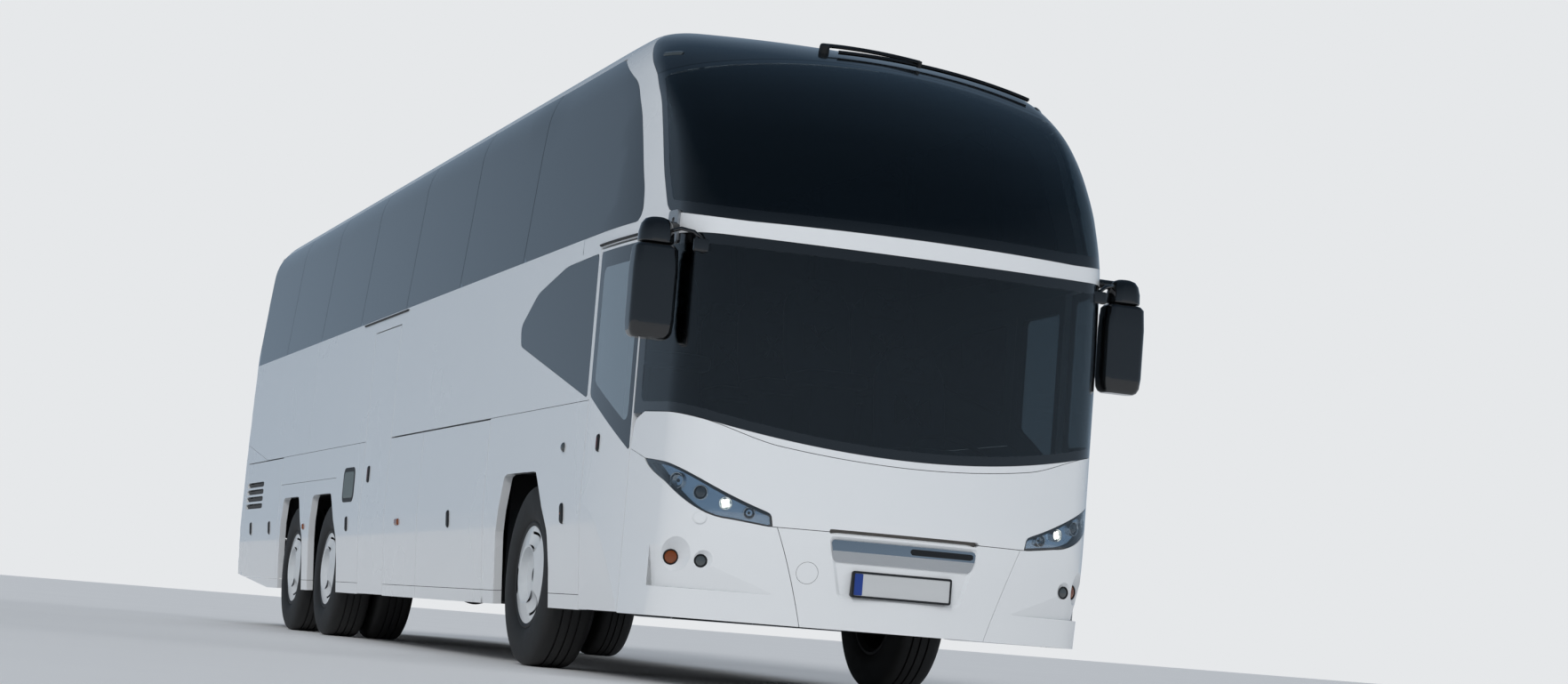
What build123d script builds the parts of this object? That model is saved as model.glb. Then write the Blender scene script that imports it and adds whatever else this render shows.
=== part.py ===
"""Three-axle touring coach, built from separate pieces.

Frame: millimetres, forward is -Y, the vehicle's right-hand (door) side is -X, up is +Z.
The origin is on the ground, under the middle of the whole vehicle.
"""
import math
import os

from build123d import *

# Overall sizes and axle places
LENGTH = 12990.0
HALF_WIDTH = 1275.0
ROOF_Z = 3740.0
FRONT_OVERHANG = 2680.0
WHEELBASE = 6060.0
BOGIE_SPACING = 1470.0
FRONT_Y = -LENGTH / 2
REAR_Y = LENGTH / 2
FRONT_AXLE_Y = FRONT_Y + FRONT_OVERHANG
DRIVE_AXLE_Y = FRONT_AXLE_Y + WHEELBASE
TAG_AXLE_Y = DRIVE_AXLE_Y + BOGIE_SPACING

# Walls, gaps and levels
WALL = 50.0
GLASS = 12.0
DOOR_THICK = 42.0
SEAT_GAP = 0.3
PANEL_GAP = 8.0
SKIRT_Z = 340.0
WAIST_Z = 1468.0
BAND_Z = 2385.0
COVE_Z = 3440.0
FLOOR_THICK = 45.0
DECK_Z = 1400.0
COCKPIT_Z = 900.0
BAY_Z = 400.0

# Wheels and tyres
TYRE_R = 522.0
TYRE_WIDTH = 295.0
RIM_R = 288.0
TYRE_FIT = 0.5
WHEEL_INSET = 50.0
TWIN_PITCH = 335.0
SPINDLE_R = 45.0
RUNNING_FIT = 0.05
WHEEL_X = HALF_WIDTH - WHEEL_INSET - TYRE_WIDTH / 2
INNER_WHEEL_X = WHEEL_X - TWIN_PITCH

# Plan of the front end: arcs of the nose, the corners and the tapered door zone
NOSE_R = 2550.0
CORNER_R = 300.0
TAPER_R = 7000.0
JOIN_Y = -2800.0
DOOR_ZONE_Y = -4915.0

# Body sections of the front end: height, setback of the nose, half width, start of the taper
NOSE_SECTIONS = (
    (320.0, 70.0, HALF_WIDTH + 1, DOOR_ZONE_Y),
    (900.0, 4.0, HALF_WIDTH + 1, DOOR_ZONE_Y),
    (1700.0, 0.0, HALF_WIDTH + 1, DOOR_ZONE_Y),
    (2300.0, 25.0, HALF_WIDTH + 1, DOOR_ZONE_Y),
    (2600.0, 115.0, HALF_WIDTH - 15, DOOR_ZONE_Y),
    (2850.0, 262.0, HALF_WIDTH - 40, DOOR_ZONE_Y),
    (3080.0, 478.0, HALF_WIDTH - 62, DOOR_ZONE_Y),
    (3280.0, 745.0, HALF_WIDTH - 90, -4700.0),
    (3450.0, 1080.0, HALF_WIDTH - 160, -4400.0),
    (3580.0, 1500.0, HALF_WIDTH - 260, -4000.0),
    (3680.0, 2080.0, HALF_WIDTH - 390, -3500.0),
    (3770.0, 3050.0, HALF_WIDTH - 560, -2860.0),
)

# Cross-section: lower tuck, straight side, lean of the windows, roof edge, roof crown
TUCK = 40.0
TUCK_Z = 900.0
SHOULDER_Z = 2400.0
EAVE_Z = 3400.0
EAVE_HALF = 1182.0
ROOF_EDGE_R = 420.0
CROWN_R = 2900.0


def tangent_circle(centre_a, reach_a, centre_b, reach_b):
    """Centre at reach_a from centre_a and reach_b from centre_b, on the outer front side."""
    ax, ay = centre_a
    bx, by = centre_b
    gap = math.hypot(bx - ax, by - ay)
    along = (reach_a**2 - reach_b**2 + gap**2) / (2 * gap)
    across = math.sqrt(max(reach_a**2 - along**2, 0.0))
    ux, uy = (bx - ax) / gap, (by - ay) / gap
    options = [(ax + ux * along - uy * across * s, ay + uy * along + ux * across * s) for s in (1, -1)]
    return max(options, key=lambda p: p[0] - p[1])


def on_circle(centre, towards, radius):
    """Point on a circle in the direction from its centre towards another point."""
    dx, dy = towards[0] - centre[0], towards[1] - centre[1]
    size = math.hypot(dx, dy)
    return (centre[0] + dx / size * radius, centre[1] + dy / size * radius)


def arc_middle(centre, start, end, radius):
    """Middle point of the short arc between two points of a circle."""
    return on_circle(centre, ((start[0] + end[0]) / 2, (start[1] + end[1]) / 2), radius)


def plan_face(height, setback, half_width, taper_y, inset):
    """Horizontal section of the front end: nose arc, corner arcs, taper arcs, straight sides."""
    nose_y = FRONT_Y + setback
    nose_c = (0.0, nose_y + NOSE_R)
    taper_c = (half_width - TAPER_R, taper_y)
    corner_c = tangent_circle(nose_c, NOSE_R - CORNER_R, taper_c, TAPER_R - CORNER_R)
    nose_r, corner_r, taper_r = NOSE_R - inset, CORNER_R - inset, TAPER_R - inset
    nose_end = on_circle(nose_c, corner_c, nose_r)
    taper_end = on_circle(taper_c, corner_c, taper_r)
    side = half_width - inset
    corner_mid = arc_middle(corner_c, nose_end, taper_end, corner_r)
    taper_mid = arc_middle(taper_c, taper_end, (side, taper_y), taper_r)

    def at(point, sign):
        return (sign * point[0], point[1], height)

    edges = [ThreePointArc(at(nose_end, -1), (0, nose_y + inset, height), at(nose_end, 1))]
    edges += [ThreePointArc(at(nose_end, 1), at(corner_mid, 1), at(taper_end, 1))]
    edges += [ThreePointArc(at(taper_end, 1), at(taper_mid, 1), (side, taper_y, height))]
    edges += [Line((side, taper_y, height), (side, JOIN_Y, height))]
    edges += [Line((side, JOIN_Y, height), (-side, JOIN_Y, height))]
    edges += [Line((-side, JOIN_Y, height), (-side, taper_y, height))]
    edges += [ThreePointArc((-side, taper_y, height), at(taper_mid, -1), at(taper_end, -1))]
    edges += [ThreePointArc(at(taper_end, -1), at(corner_mid, -1), at(nose_end, -1))]
    return make_face(edges)


def cross_face(inset, y):
    """Vertical cross-section of the body at one station, inset by a wall thickness."""
    side = HALF_WIDTH - inset
    crown_c = ROOF_Z - CROWN_R
    crown_r = CROWN_R - inset
    edge_r = ROOF_EDGE_R - inset
    lean = (HALF_WIDTH - EAVE_HALF) / (EAVE_Z - SHOULDER_Z)
    slope = math.hypot(1.0, lean)
    # centre of the roof edge arc: ROOF_EDGE_R inside the leaning side and inside the crown
    reach = CROWN_R - ROOF_EDGE_R
    foot = HALF_WIDTH - ROOF_EDGE_R * slope + lean * (SHOULDER_Z - crown_c)
    b = lean * foot
    height = (b + math.sqrt(b * b - (1 + lean * lean) * (foot * foot - reach * reach))) / (1 + lean * lean)
    edge_c = (foot - lean * height, crown_c + height)
    crown_end = on_circle((0.0, crown_c), edge_c, crown_r)
    lean_end = (edge_c[0] + edge_r / slope, edge_c[1] + edge_r * lean / slope)
    edge_mid = arc_middle(edge_c, crown_end, lean_end, edge_r)
    shoulder = HALF_WIDTH - inset * slope
    low = SKIRT_Z - 60.0
    tuck_side = side - TUCK * (TUCK_Z - low) / (TUCK_Z - SKIRT_Z)
    right = [(tuck_side, low), (side, TUCK_Z), (min(side, shoulder), SHOULDER_Z), lean_end]

    def at(point, sign):
        return (sign * point[0], y, point[1])

    edges = [Line(at(right[0], -1), at(right[0], 1))]
    edges += [Line(at(right[i], 1), at(right[i + 1], 1)) for i in range(3)]
    edges += [ThreePointArc(at(lean_end, 1), at(edge_mid, 1), at(crown_end, 1))]
    edges += [ThreePointArc(at(crown_end, 1), (0, y, crown_c + crown_r), at(crown_end, -1))]
    edges += [ThreePointArc(at(crown_end, -1), at(edge_mid, -1), at(lean_end, -1))]
    edges += [Line(at(right[i + 1], -1), at(right[i], -1)) for i in (2, 1, 0)]
    return make_face(edges)


def rounded_outline(points, place):
    """Closed face from (u, v, corner radius) points; place(u, v) gives the 3-D point."""
    count = len(points)
    corners = []
    for i, (u, v, radius) in enumerate(points):
        pu, pv, _ = points[i - 1]
        nu, nv, _ = points[(i + 1) % count]
        if radius <= 0:
            corners.append(((u, v), None, (u, v)))
            continue
        d1 = math.hypot(pu - u, pv - v)
        d2 = math.hypot(nu - u, nv - v)
        a = ((pu - u) / d1, (pv - v) / d1)
        b = ((nu - u) / d2, (nv - v) / d2)
        half = math.acos(max(-1.0, min(1.0, a[0] * b[0] + a[1] * b[1]))) / 2
        cut = radius / math.tan(half)
        mid = (a[0] + b[0], a[1] + b[1])
        size = math.hypot(*mid)
        reach = radius / math.sin(half) - radius
        middle = (u + mid[0] / size * reach, v + mid[1] / size * reach)
        corners.append(((u + a[0] * cut, v + a[1] * cut), middle, (u + b[0] * cut, v + b[1] * cut)))
    edges = []
    for i, (start, middle, end) in enumerate(corners):
        if middle is not None:
            edges.append(ThreePointArc(place(*start), place(*middle), place(*end)))
        following = corners[(i + 1) % count][0]
        if math.dist(end, following) > 0.01:
            edges.append(Line(place(*end), place(*following)))
    return make_face(edges)


def side_prism(points, x0, x1):
    """Solid between two X planes from a (y, z, radius) outline."""
    face = rounded_outline(points, lambda y, z: (x0, y, z))
    return extrude(face, amount=x1 - x0, dir=(1, 0, 0))


def front_prism(points, y0, y1):
    """Solid between two Y planes from an (x, z, radius) outline."""
    face = rounded_outline(points, lambda x, z: (x, y0, z))
    return extrude(face, amount=y1 - y0, dir=(0, 1, 0))


def plan_prism(points, z0, z1):
    """Solid between two Z planes from an (x, y, radius) outline."""
    face = rounded_outline(points, lambda x, y: (x, y, z0))
    return extrude(face, amount=z1 - z0, dir=(0, 0, 1))


def block(x0, x1, y0, y1, z0, z1):
    """Rectangular block given by its lowest and highest corners."""
    return Pos((x0 + x1) / 2, (y0 + y1) / 2, (z0 + z1) / 2) * Box(x1 - x0, y1 - y0, z1 - z0)


def mirrored(shape):
    """The same piece on the other side of the vehicle."""
    return mirror(shape, about=Plane.YZ)


def rod(start, end, radius):
    """Round bar between two points."""
    line = Line(start, end)
    plane = Plane(origin=start, z_dir=line % 0)
    return extrude(plane * Circle(radius), amount=line.length)


def turned(profile, x, y, z, sign=1):
    """Solid of revolution about the X axis from (x offset, radius) points, placed on an axle."""
    points = [(sign * offset, radius, 0) for offset, radius in profile]
    ring = revolve(make_face(Polyline(*points, close=True)), Axis.X)
    return Pos(x, y, z) * ring


# Body envelope: the front end is lofted, the rest is a straight extrusion
REAR_RAKE_Z = 1500.0
REAR_RAKE = 260.0
REAR_CORNER_R = 220.0
REAR_TOP_R = 420.0
REAR_CHAMFER_Y = 4800.0
REAR_CHAMFER_Z = 450.0
REAR_SPLIT_Y = REAR_Y - 240.0
REAR_BUMPER_Z = 800.0
OPEN_BELOW = 40.0


def front_envelope(inset):
    """Outer form of the front end, drawn in by a wall thickness."""
    sections = [plan_face(z, setback, half, taper, inset) for z, setback, half, taper in NOSE_SECTIONS]
    nose = loft(sections, ruled=True)
    prism = extrude(cross_face(inset, FRONT_Y - 50), amount=JOIN_Y - FRONT_Y + 50, dir=(0, 1, 0))
    low = SKIRT_Z if inset == 0 else SKIRT_Z - OPEN_BELOW
    return nose & prism & block(-2000, 2000, FRONT_Y - 100, JOIN_Y, low, ROOF_Z + 100)


def rear_envelope(inset):
    """Outer form behind the front wheels, with its raked and rounded rear end."""
    prism = extrude(cross_face(inset, JOIN_Y), amount=REAR_Y - JOIN_Y, dir=(0, 1, 0))
    back = REAR_Y - inset
    top = ROOF_Z + 20 - inset
    drop = 0 if inset == 0 else OPEN_BELOW
    outline = [(JOIN_Y - 1, SKIRT_Z - drop, 0), (REAR_CHAMFER_Y, SKIRT_Z - drop, 0)]
    outline += [(REAR_Y - 60, REAR_CHAMFER_Z - drop, 0)]
    outline += [(back, REAR_BUMPER_Z - 50, 0), (back, REAR_RAKE_Z, 0)]
    outline += [(back - REAR_RAKE, top, REAR_TOP_R), (JOIN_Y - 1, top, 0)]
    profile = side_prism(outline, -1400, 1400)
    side = HALF_WIDTH + 5 - inset
    plan = [(-side, JOIN_Y - 1, 0), (side, JOIN_Y - 1, 0), (side, back, REAR_CORNER_R - inset)]
    plan += [(-side, back, REAR_CORNER_R - inset)]
    corners = plan_prism(plan, 0, ROOF_Z + 100)
    return prism & profile & corners


FRONT_OUTER = front_envelope(0)
FRONT_LAYER = front_envelope(GLASS)
FRONT_SEAT = front_envelope(GLASS + SEAT_GAP)
FRONT_INNER = front_envelope(WALL)
REAR_OUTER = rear_envelope(0)
REAR_LAYER = rear_envelope(GLASS)
REAR_SEAT = rear_envelope(GLASS + SEAT_GAP)
REAR_INNER = rear_envelope(WALL)
FRONT_SHELL = FRONT_OUTER - FRONT_INNER
REAR_SHELL = REAR_OUTER - REAR_INNER
FRONT_GLAZING = FRONT_OUTER - FRONT_LAYER
REAR_GLAZING = REAR_OUTER - REAR_LAYER
FRONT_BACKING = FRONT_SEAT - FRONT_INNER
REAR_BACKING = REAR_SEAT - REAR_INNER

# Side elevation outlines, as (y, z, corner radius)
DOOR_REAR_Y = -4965.0
DOOR_FRONT_Y = -5675.0
DOOR_TOP_Z = 2290.0
BAND_REAR_Y = 6320.0
BAND_OUTLINE = (
    (-5575.0, BAND_Z, 70.0), (-5535.0, 2560.0, 300.0), (-5290.0, 3010.0, 500.0),
    (-5120.0, 3200.0, 400.0), (-4560.0, COVE_Z, 200.0), (BAND_REAR_Y - 120.0, COVE_Z, 60.0),
    (BAND_REAR_Y, BAND_Z, 60.0),
)
SCREEN_EDGE = (
    (-5880.0, 2400.0, 100.0), (-5775.0, 2590.0, 300.0), (-5547.0, 3043.0, 400.0),
    (-5388.0, 3203.0, 300.0), (-5000.0, 3450.0, 500.0), (-4480.0, 3790.0, 0.0),
)
QUARTER_OUTLINE = (
    (-4930.0, 2272.0, 20.0), (-4300.0, 2262.0, 900.0), (-3720.0, 2160.0, 400.0),
    (-3385.0, 1990.0, 60.0), (-3425.0, 1870.0, 50.0), (-4930.0, WAIST_Z + 12.0, 20.0),
)
DOOR_GLASS_OUTLINE = (
    (-4985.0, 1490.0, 15.0), (-4985.0, DOOR_TOP_Z - 18.0, 15.0),
    (-5655.0, DOOR_TOP_Z - 18.0, 15.0), (-5655.0, 1172.0, 15.0),
)
DOOR_WINDOW_OUTLINE = (
    (-5055.0, 1560.0, 40.0), (-5055.0, DOOR_TOP_Z - 110.0, 40.0),
    (-5600.0, DOOR_TOP_Z - 110.0, 40.0), (-5600.0, 1310.0, 40.0),
)
BELT_BOTTOM_MID_Z = 2235.0
BELT_BOTTOM_END_Z = 2285.0
SCREEN_TOP_MID_Z = 3385.0
SCREEN_TOP_END_Z = 3130.0
MASK_MID_Z = 1205.0
MASK_END_Z = 1400.0
MASK_BOTTOM_Z = 820.0
EDGE_X = 1400.0


def above_curve(mid_z, end_z, top_z, y0, y1):
    """Everything above a shallow arc in front elevation, between two stations."""
    arc = ThreePointArc((-EDGE_X, y0, end_z), (0, y0, mid_z), (EDGE_X, y0, end_z))
    edges = [arc, Line((EDGE_X, y0, end_z), (EDGE_X, y0, top_z))]
    edges += [Line((EDGE_X, y0, top_z), (-EDGE_X, y0, top_z)), Line((-EDGE_X, y0, top_z), (-EDGE_X, y0, end_z))]
    return extrude(make_face(edges), amount=y1 - y0, dir=(0, 1, 0))


def side_zone(sign, points):
    """Outline in side elevation, through one side of the body."""
    prism = side_prism(points, 1000, 1400)
    return prism if sign > 0 else mirrored(prism)


BELT_UP = above_curve(BELT_BOTTOM_MID_Z, BELT_BOTTOM_END_Z, 3900, FRONT_Y - 50, DOOR_FRONT_Y)
FASCIA_UP = above_curve(SCREEN_TOP_MID_Z, SCREEN_TOP_END_Z, 3900, FRONT_Y - 50, JOIN_Y)
MASK_UP = above_curve(MASK_MID_Z, MASK_END_Z + 25, 3900, FRONT_Y - 50, DOOR_FRONT_Y)
SCREEN_ZONE = side_prism([(-6700.0, 2316.0, 0), (-6300.0, 2336.0, 0)] + list(SCREEN_EDGE) + [(-6700.0, 3790.0, 0)],
                         -1400, 1400)
MASK_SIDE = side_prism([(-6700, 0, 0), (DOOR_FRONT_Y + 1, 0, 0), (DOOR_FRONT_Y + 1, 1200, 0),
                        (-5705, 1330, 60), (-5900, 1402, 120), (-6700, 1402, 0)], -1400, 1400)
FRONT_ZONE = block(-1400, 1400, FRONT_Y - 50, DOOR_FRONT_Y, 0, 3900)

# Front end panels
MASK_ZONE = MASK_SIDE - MASK_UP
LAMP_OUTLINE = ((690.0, 817.0), (1059.0, 886.0), (1218.0, 1130.0), (988.0, 1004.0), (700.0, 885.0))


def lamp_prism(margin):
    """Blade-shaped headlamp outline in front elevation, through the right-hand corner."""
    (x0, z0), (x1, z1), (x2, z2), (x3, z3), (x4, z4) = LAMP_OUTLINE
    y0 = FRONT_Y - 50
    low = ThreePointArc((x0 - margin, y0, z0 - margin), (x1, y0, z1 - margin), (x2 + margin, y0, z2 + margin))
    high = ThreePointArc((x2 + margin, y0, z2 + margin), (x3, y0, z3 + margin), (x4 - margin, y0, z4 + margin))
    close = Line((x4 - margin, y0, z4 + margin), (x0 - margin, y0, z0 - margin))
    return extrude(make_face([low, high, close]), amount=900, dir=(0, 1, 0))


LAMP_HOLES = lamp_prism(SEAT_GAP) + mirrored(lamp_prism(SEAT_GAP))
LAMP_SHAPES = [lamp_prism(0.0), mirrored(lamp_prism(0.0))]
FOG_Z = 632.0
FOG_PLACES = ((1149.0, 48.0), (1010.0, 42.0))

parts = {}
front_skin = FRONT_SHELL & FRONT_ZONE
mask_and_bumper = (front_skin & MASK_ZONE) - LAMP_HOLES
parts["front_mask"] = mask_and_bumper & block(-1400, 1400, FRONT_Y - 50, 0, MASK_BOTTOM_Z, 1500)
bumper = mask_and_bumper & block(-1400, 1400, FRONT_Y - 50, 0, 0, MASK_BOTTOM_Z)
fog_holes = [Pos(s * x, FRONT_Y + 300, FOG_Z) * Rot(90, 0, 0) * Cylinder(r, 700)
             for x, r in FOG_PLACES for s in (-1, 1)]
for hole in fog_holes:
    bumper -= hole
parts["front_bumper"] = bumper
lamp_bodies = [(FRONT_SHELL & FRONT_ZONE) & shape for shape in LAMP_SHAPES]
fogs = [(FRONT_SHELL & FRONT_ZONE) & (Pos(s * x, FRONT_Y + 300, FOG_Z) * Rot(90, 0, 0) * Cylinder(r - SEAT_GAP, 700))
        for x, r in FOG_PLACES for s in (-1, 1)]
parts["front_lamps"] = Compound(children=[s for p in lamp_bodies + fogs for s in p.solids()])
lower_zone = FRONT_ZONE - BELT_UP - MASK_ZONE
parts["windscreen_lower"] = FRONT_GLAZING & lower_zone & block(-1400, 1400, -6600, DOOR_FRONT_Y, 1100, 2400)
upper_zone = SCREEN_ZONE - FASCIA_UP
parts["windscreen_upper"] = FRONT_GLAZING & upper_zone
parts["front_fascia"] = FRONT_SHELL & SCREEN_ZONE & FASCIA_UP

# Hoop: belt between the windscreens and the arch beside them
hoop_back = [(-6700, 2100, 0), (DOOR_FRONT_Y, 2100, 0), (DOOR_FRONT_Y, DOOR_TOP_Z + 8, 0),
             (-4600, DOOR_TOP_Z + 8, 0), (-4300, 2600, 0), (-4300, 3900, 0), (-6700, 3900, 0)]
hoop = FRONT_SHELL & side_prism(hoop_back, -1400, 1400)
hoop = hoop & (BELT_UP + block(-1400, 1400, DOOR_FRONT_Y, JOIN_Y, 0, 3900)) - SCREEN_ZONE
for s in (-1, 1):
    hoop -= side_zone(s, BAND_OUTLINE)
hoop -= block(-1400, 1400, -4600, JOIN_Y, 0, BAND_Z + 1)
parts["front_hoop"] = hoop

# Side walls: from the front door pillar to the rear corner, with arches and doorways cut
ARCH_TOP_Z = 1108.0
ARCH_LOW_Z = SKIRT_Z - 60.0
ARCH_HUB_Z = 560.0
ARCH_MID_Z = 760.0
# Wheel arches: axle place, then offsets from it at the skirt, hub, middle and top, in front and behind
ARCHES = (
    (FRONT_AXLE_Y, (-560.0, -550.0, -505.0, -200.0), (500.0, 645.0, 652.0, 660.0)),
    (DRIVE_AXLE_Y, (-552.0, -545.0, -500.0, -195.0), (560.0, 648.0, 652.0, 656.0)),
    (TAG_AXLE_Y, (-560.0, -552.0, -535.0, -285.0), (415.0, 512.0, 545.0, 552.0)),
)
ARCH_HEIGHTS = (ARCH_LOW_Z, ARCH_HUB_Z, ARCH_MID_Z, ARCH_TOP_Z)
ARCH_RADII = (0.0, 0.0, 150.0, 40.0)


def arch_outline(axle_y, ahead, behind):
    """Opening over one wheel in side elevation."""
    front = [(axle_y + u, z, r) for u, z, r in zip(ahead, ARCH_HEIGHTS, ARCH_RADII)]
    back = [(axle_y + u, z, r) for u, z, r in zip(behind, reversed(ARCH_HEIGHTS), reversed(ARCH_RADII))]
    return front + back



BAY_FRONT_Y = -2855.0
BAY_SPLIT_Y = -1045.0
MID_DOOR_FRONT_Y = 5.0
MID_DOOR_REAR_Y = 885.0
MID_DOOR_TOP_Z = 2280.0
REAR_FLAP_FRONT_Y = 4340.0
REAR_FLAP_REAR_Y = 6180.0
FLAP_TOP_Z = WAIST_Z - 6.0
FLAP_THICK = 38.0
WINDOW_SEAMS = (-3300.0, -1700.0, -100.0, 1500.0, 3100.0, 4700.0)
PILLAR_HALF = 45.0
WINDOW_SILL_Z = BAND_Z + 70.0
WINDOW_HEAD_Z = COVE_Z - 70.0
LEFT_BAY_REAR_Y = 765.0
FLAP_SPANS = {
    "luggage_flap_right_front": (-1, BAY_FRONT_Y, BAY_SPLIT_Y),
    "luggage_flap_right_rear": (-1, BAY_SPLIT_Y, MID_DOOR_FRONT_Y),
    "luggage_flap_left_front": (1, BAY_FRONT_Y, BAY_SPLIT_Y),
    "luggage_flap_left_rear": (1, BAY_SPLIT_Y, LEFT_BAY_REAR_Y),
    "rear_flap_right": (-1, REAR_FLAP_FRONT_Y, REAR_FLAP_REAR_Y),
    "rear_flap_left": (1, REAR_FLAP_FRONT_Y, REAR_FLAP_REAR_Y),
}
GAP = PANEL_GAP / 2


def hole_outline(y0, y1, z0, z1, margin):
    """Rectangle in side elevation, drawn out by a margin."""
    return [(y0 - margin, z0 - margin, 6.0), (y1 + margin, z0 - margin, 6.0),
            (y1 + margin, z1 + margin, 6.0), (y0 - margin, z1 + margin, 6.0)]


def layer_pair(front_part, rear_part, zone):
    """Cut the same zone out of the front and the rear envelope and join the halves."""
    first = front_part & zone
    second = rear_part & zone
    if not first.solids():
        return second
    if not second.solids():
        return first
    return first + second


def side_wall(sign):
    """Wall of one side: lower panels, then pillars behind the glass band up to the roof."""
    start = DOOR_REAR_Y if sign < 0 else DOOR_FRONT_Y
    low_zone = block(900, 1400, start, REAR_SPLIT_Y, 0, BAND_Z)
    low_zone = low_zone if sign > 0 else mirrored(low_zone)
    low_zone -= side_prism([(-6700, DOOR_TOP_Z + 8, 0), (-4600, DOOR_TOP_Z + 8, 0), (-4600, 2500, 0),
                            (-6700, 2500, 0)], -1400, 1400)
    wall = layer_pair(FRONT_SHELL, REAR_SHELL, low_zone)
    high_zone = block(900, 1400, -4600, REAR_SPLIT_Y, BAND_Z, COVE_Z)
    high_zone = high_zone if sign > 0 else mirrored(high_zone)
    upper = layer_pair(FRONT_BACKING, REAR_BACKING, high_zone)
    edges = [-4600.0 - PILLAR_HALF] + list(WINDOW_SEAMS) + [REAR_SPLIT_Y - PILLAR_HALF]
    for y0, y1 in zip(edges[:-1], edges[1:]):
        window = hole_outline(y0 + PILLAR_HALF, y1 - PILLAR_HALF, WINDOW_SILL_Z, WINDOW_HEAD_Z, 0)
        upper -= side_zone(sign, window)
    wall += upper
    for arch in ARCHES:
        wall -= side_zone(sign, arch_outline(*arch))
    for side, y0, y1 in FLAP_SPANS.values():
        if side == sign:
            wall -= side_zone(sign, hole_outline(y0, y1, SKIRT_Z - 100, FLAP_TOP_Z, GAP))
    wall -= side_zone(sign, QUARTER_OUTLINE) & (FRONT_OUTER - FRONT_SEAT)
    quarter_hole = [(-4860.0, 2180.0, 40.0), (-4300.0, 2170.0, 700.0), (-3780.0, 2085.0, 250.0),
                    (-3560.0, 1970.0, 60.0), (-4860.0, WAIST_Z + 170.0, 40.0)]
    wall -= side_zone(sign, quarter_hole)
    if sign < 0:
        wall -= side_zone(sign, hole_outline(MID_DOOR_FRONT_Y, MID_DOOR_REAR_Y, 0, MID_DOOR_TOP_Z, GAP))
    else:
        wall -= side_zone(sign, DOOR_GLASS_OUTLINE) & (FRONT_OUTER - FRONT_SEAT)
        wall -= side_zone(sign, DOOR_WINDOW_OUTLINE)
    return wall


def side_glass(sign):
    """Dark glass band, the hook-shaped quarter glass and, on the left, the driver's window."""
    band = layer_pair(FRONT_GLAZING, REAR_GLAZING, side_zone(sign, BAND_OUTLINE))
    panes = band.solids() + (FRONT_GLAZING & side_zone(sign, QUARTER_OUTLINE)).solids()
    if sign > 0:
        panes += (FRONT_GLAZING & side_zone(sign, DOOR_GLASS_OUTLINE)).solids()
    return panes


# Barrel hinges of the flaps and the engine lid: knuckles on the fixed side hold the pin
HINGE_R = 6.0
HINGE_PIN_R = 2.5
HINGE_HALF = 30.0
HINGE_MIDDLE = 14.0
HINGE_CLEAR = 1.5
HINGE_WEB = 12.0
HINGE_Z = (FLAP_TOP_Z + WAIST_Z - 6.0) / 2
HINGE_INSET = 160.0


def hinge_pieces(centre, along, web):
    """Fixed piece, its notch, moving piece, its notch; web is the block that carries the barrel."""
    def bar(start, end, radius):
        ends = [tuple(c + a * t for c, a in zip(centre, along)) for t in (start, end)]
        return rod(*ends, radius)

    inner = HINGE_MIDDLE + 1.0
    fixed = bar(-HINGE_HALF, -inner, HINGE_R) + bar(inner, HINGE_HALF, HINGE_R)
    fixed += bar(-HINGE_HALF, HINGE_HALF, HINGE_PIN_R)
    moving = bar(-HINGE_MIDDLE, HINGE_MIDDLE, HINGE_R) + web
    moving -= bar(-inner, inner, HINGE_PIN_R + RUNNING_FIT)
    fixed_cut = bar(-inner, inner, HINGE_R + HINGE_CLEAR)
    moving_cut = bar(-HINGE_HALF - 1.0, HINGE_HALF + 1.0, HINGE_R + HINGE_CLEAR)
    return fixed, fixed_cut, moving, moving_cut


def flap_hinges(side, y0, y1):
    """Two hinges on the upper edge of a side flap."""
    found = []
    for y in (y0 + HINGE_INSET, y1 - HINGE_INSET):
        inner_x, outer_x = sorted((side * HALF_WIDTH, side * (HALF_WIDTH - HINGE_R)))
        web = block(inner_x, outer_x, y - HINGE_MIDDLE, y + HINGE_MIDDLE, HINGE_Z - HINGE_WEB, HINGE_Z)
        found.append(hinge_pieces((side * HALF_WIDTH, y, HINGE_Z), (0, 1, 0), web))
    return found


FLAP_HINGES = {name: flap_hinges(*span) for name, span in FLAP_SPANS.items()}
for sign, wall_name in ((-1, "side_wall_right"), (1, "side_wall_left")):
    wall = side_wall(sign)
    for name, hinges in FLAP_HINGES.items():
        if FLAP_SPANS[name][0] == sign:
            for fixed, fixed_cut, _, _ in hinges:
                wall = wall - fixed_cut + fixed
    parts[wall_name] = wall
parts["side_glass"] = Compound(children=side_glass(-1) + side_glass(1))

# Roof: behind the hoop, above the glass band
roof_front = FRONT_SHELL & block(-1400, 1400, -4600, JOIN_Y, BAND_Z, 3900) - SCREEN_ZONE
roof_rear = REAR_SHELL & block(-1400, 1400, JOIN_Y, REAR_SPLIT_Y, COVE_Z, 3900)
roof = roof_front + roof_rear
for s in (-1, 1):
    roof -= side_zone(s, BAND_OUTLINE)
roof -= block(-1400, 1400, -4700, REAR_SPLIT_Y + 10, 0, COVE_Z)
parts["roof_panel"] = roof
if "front_hoop" in parts:
    parts["front_hoop"] = parts["front_hoop"] - block(-1400, 1400, -4600, JOIN_Y, 0, 3900)

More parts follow.
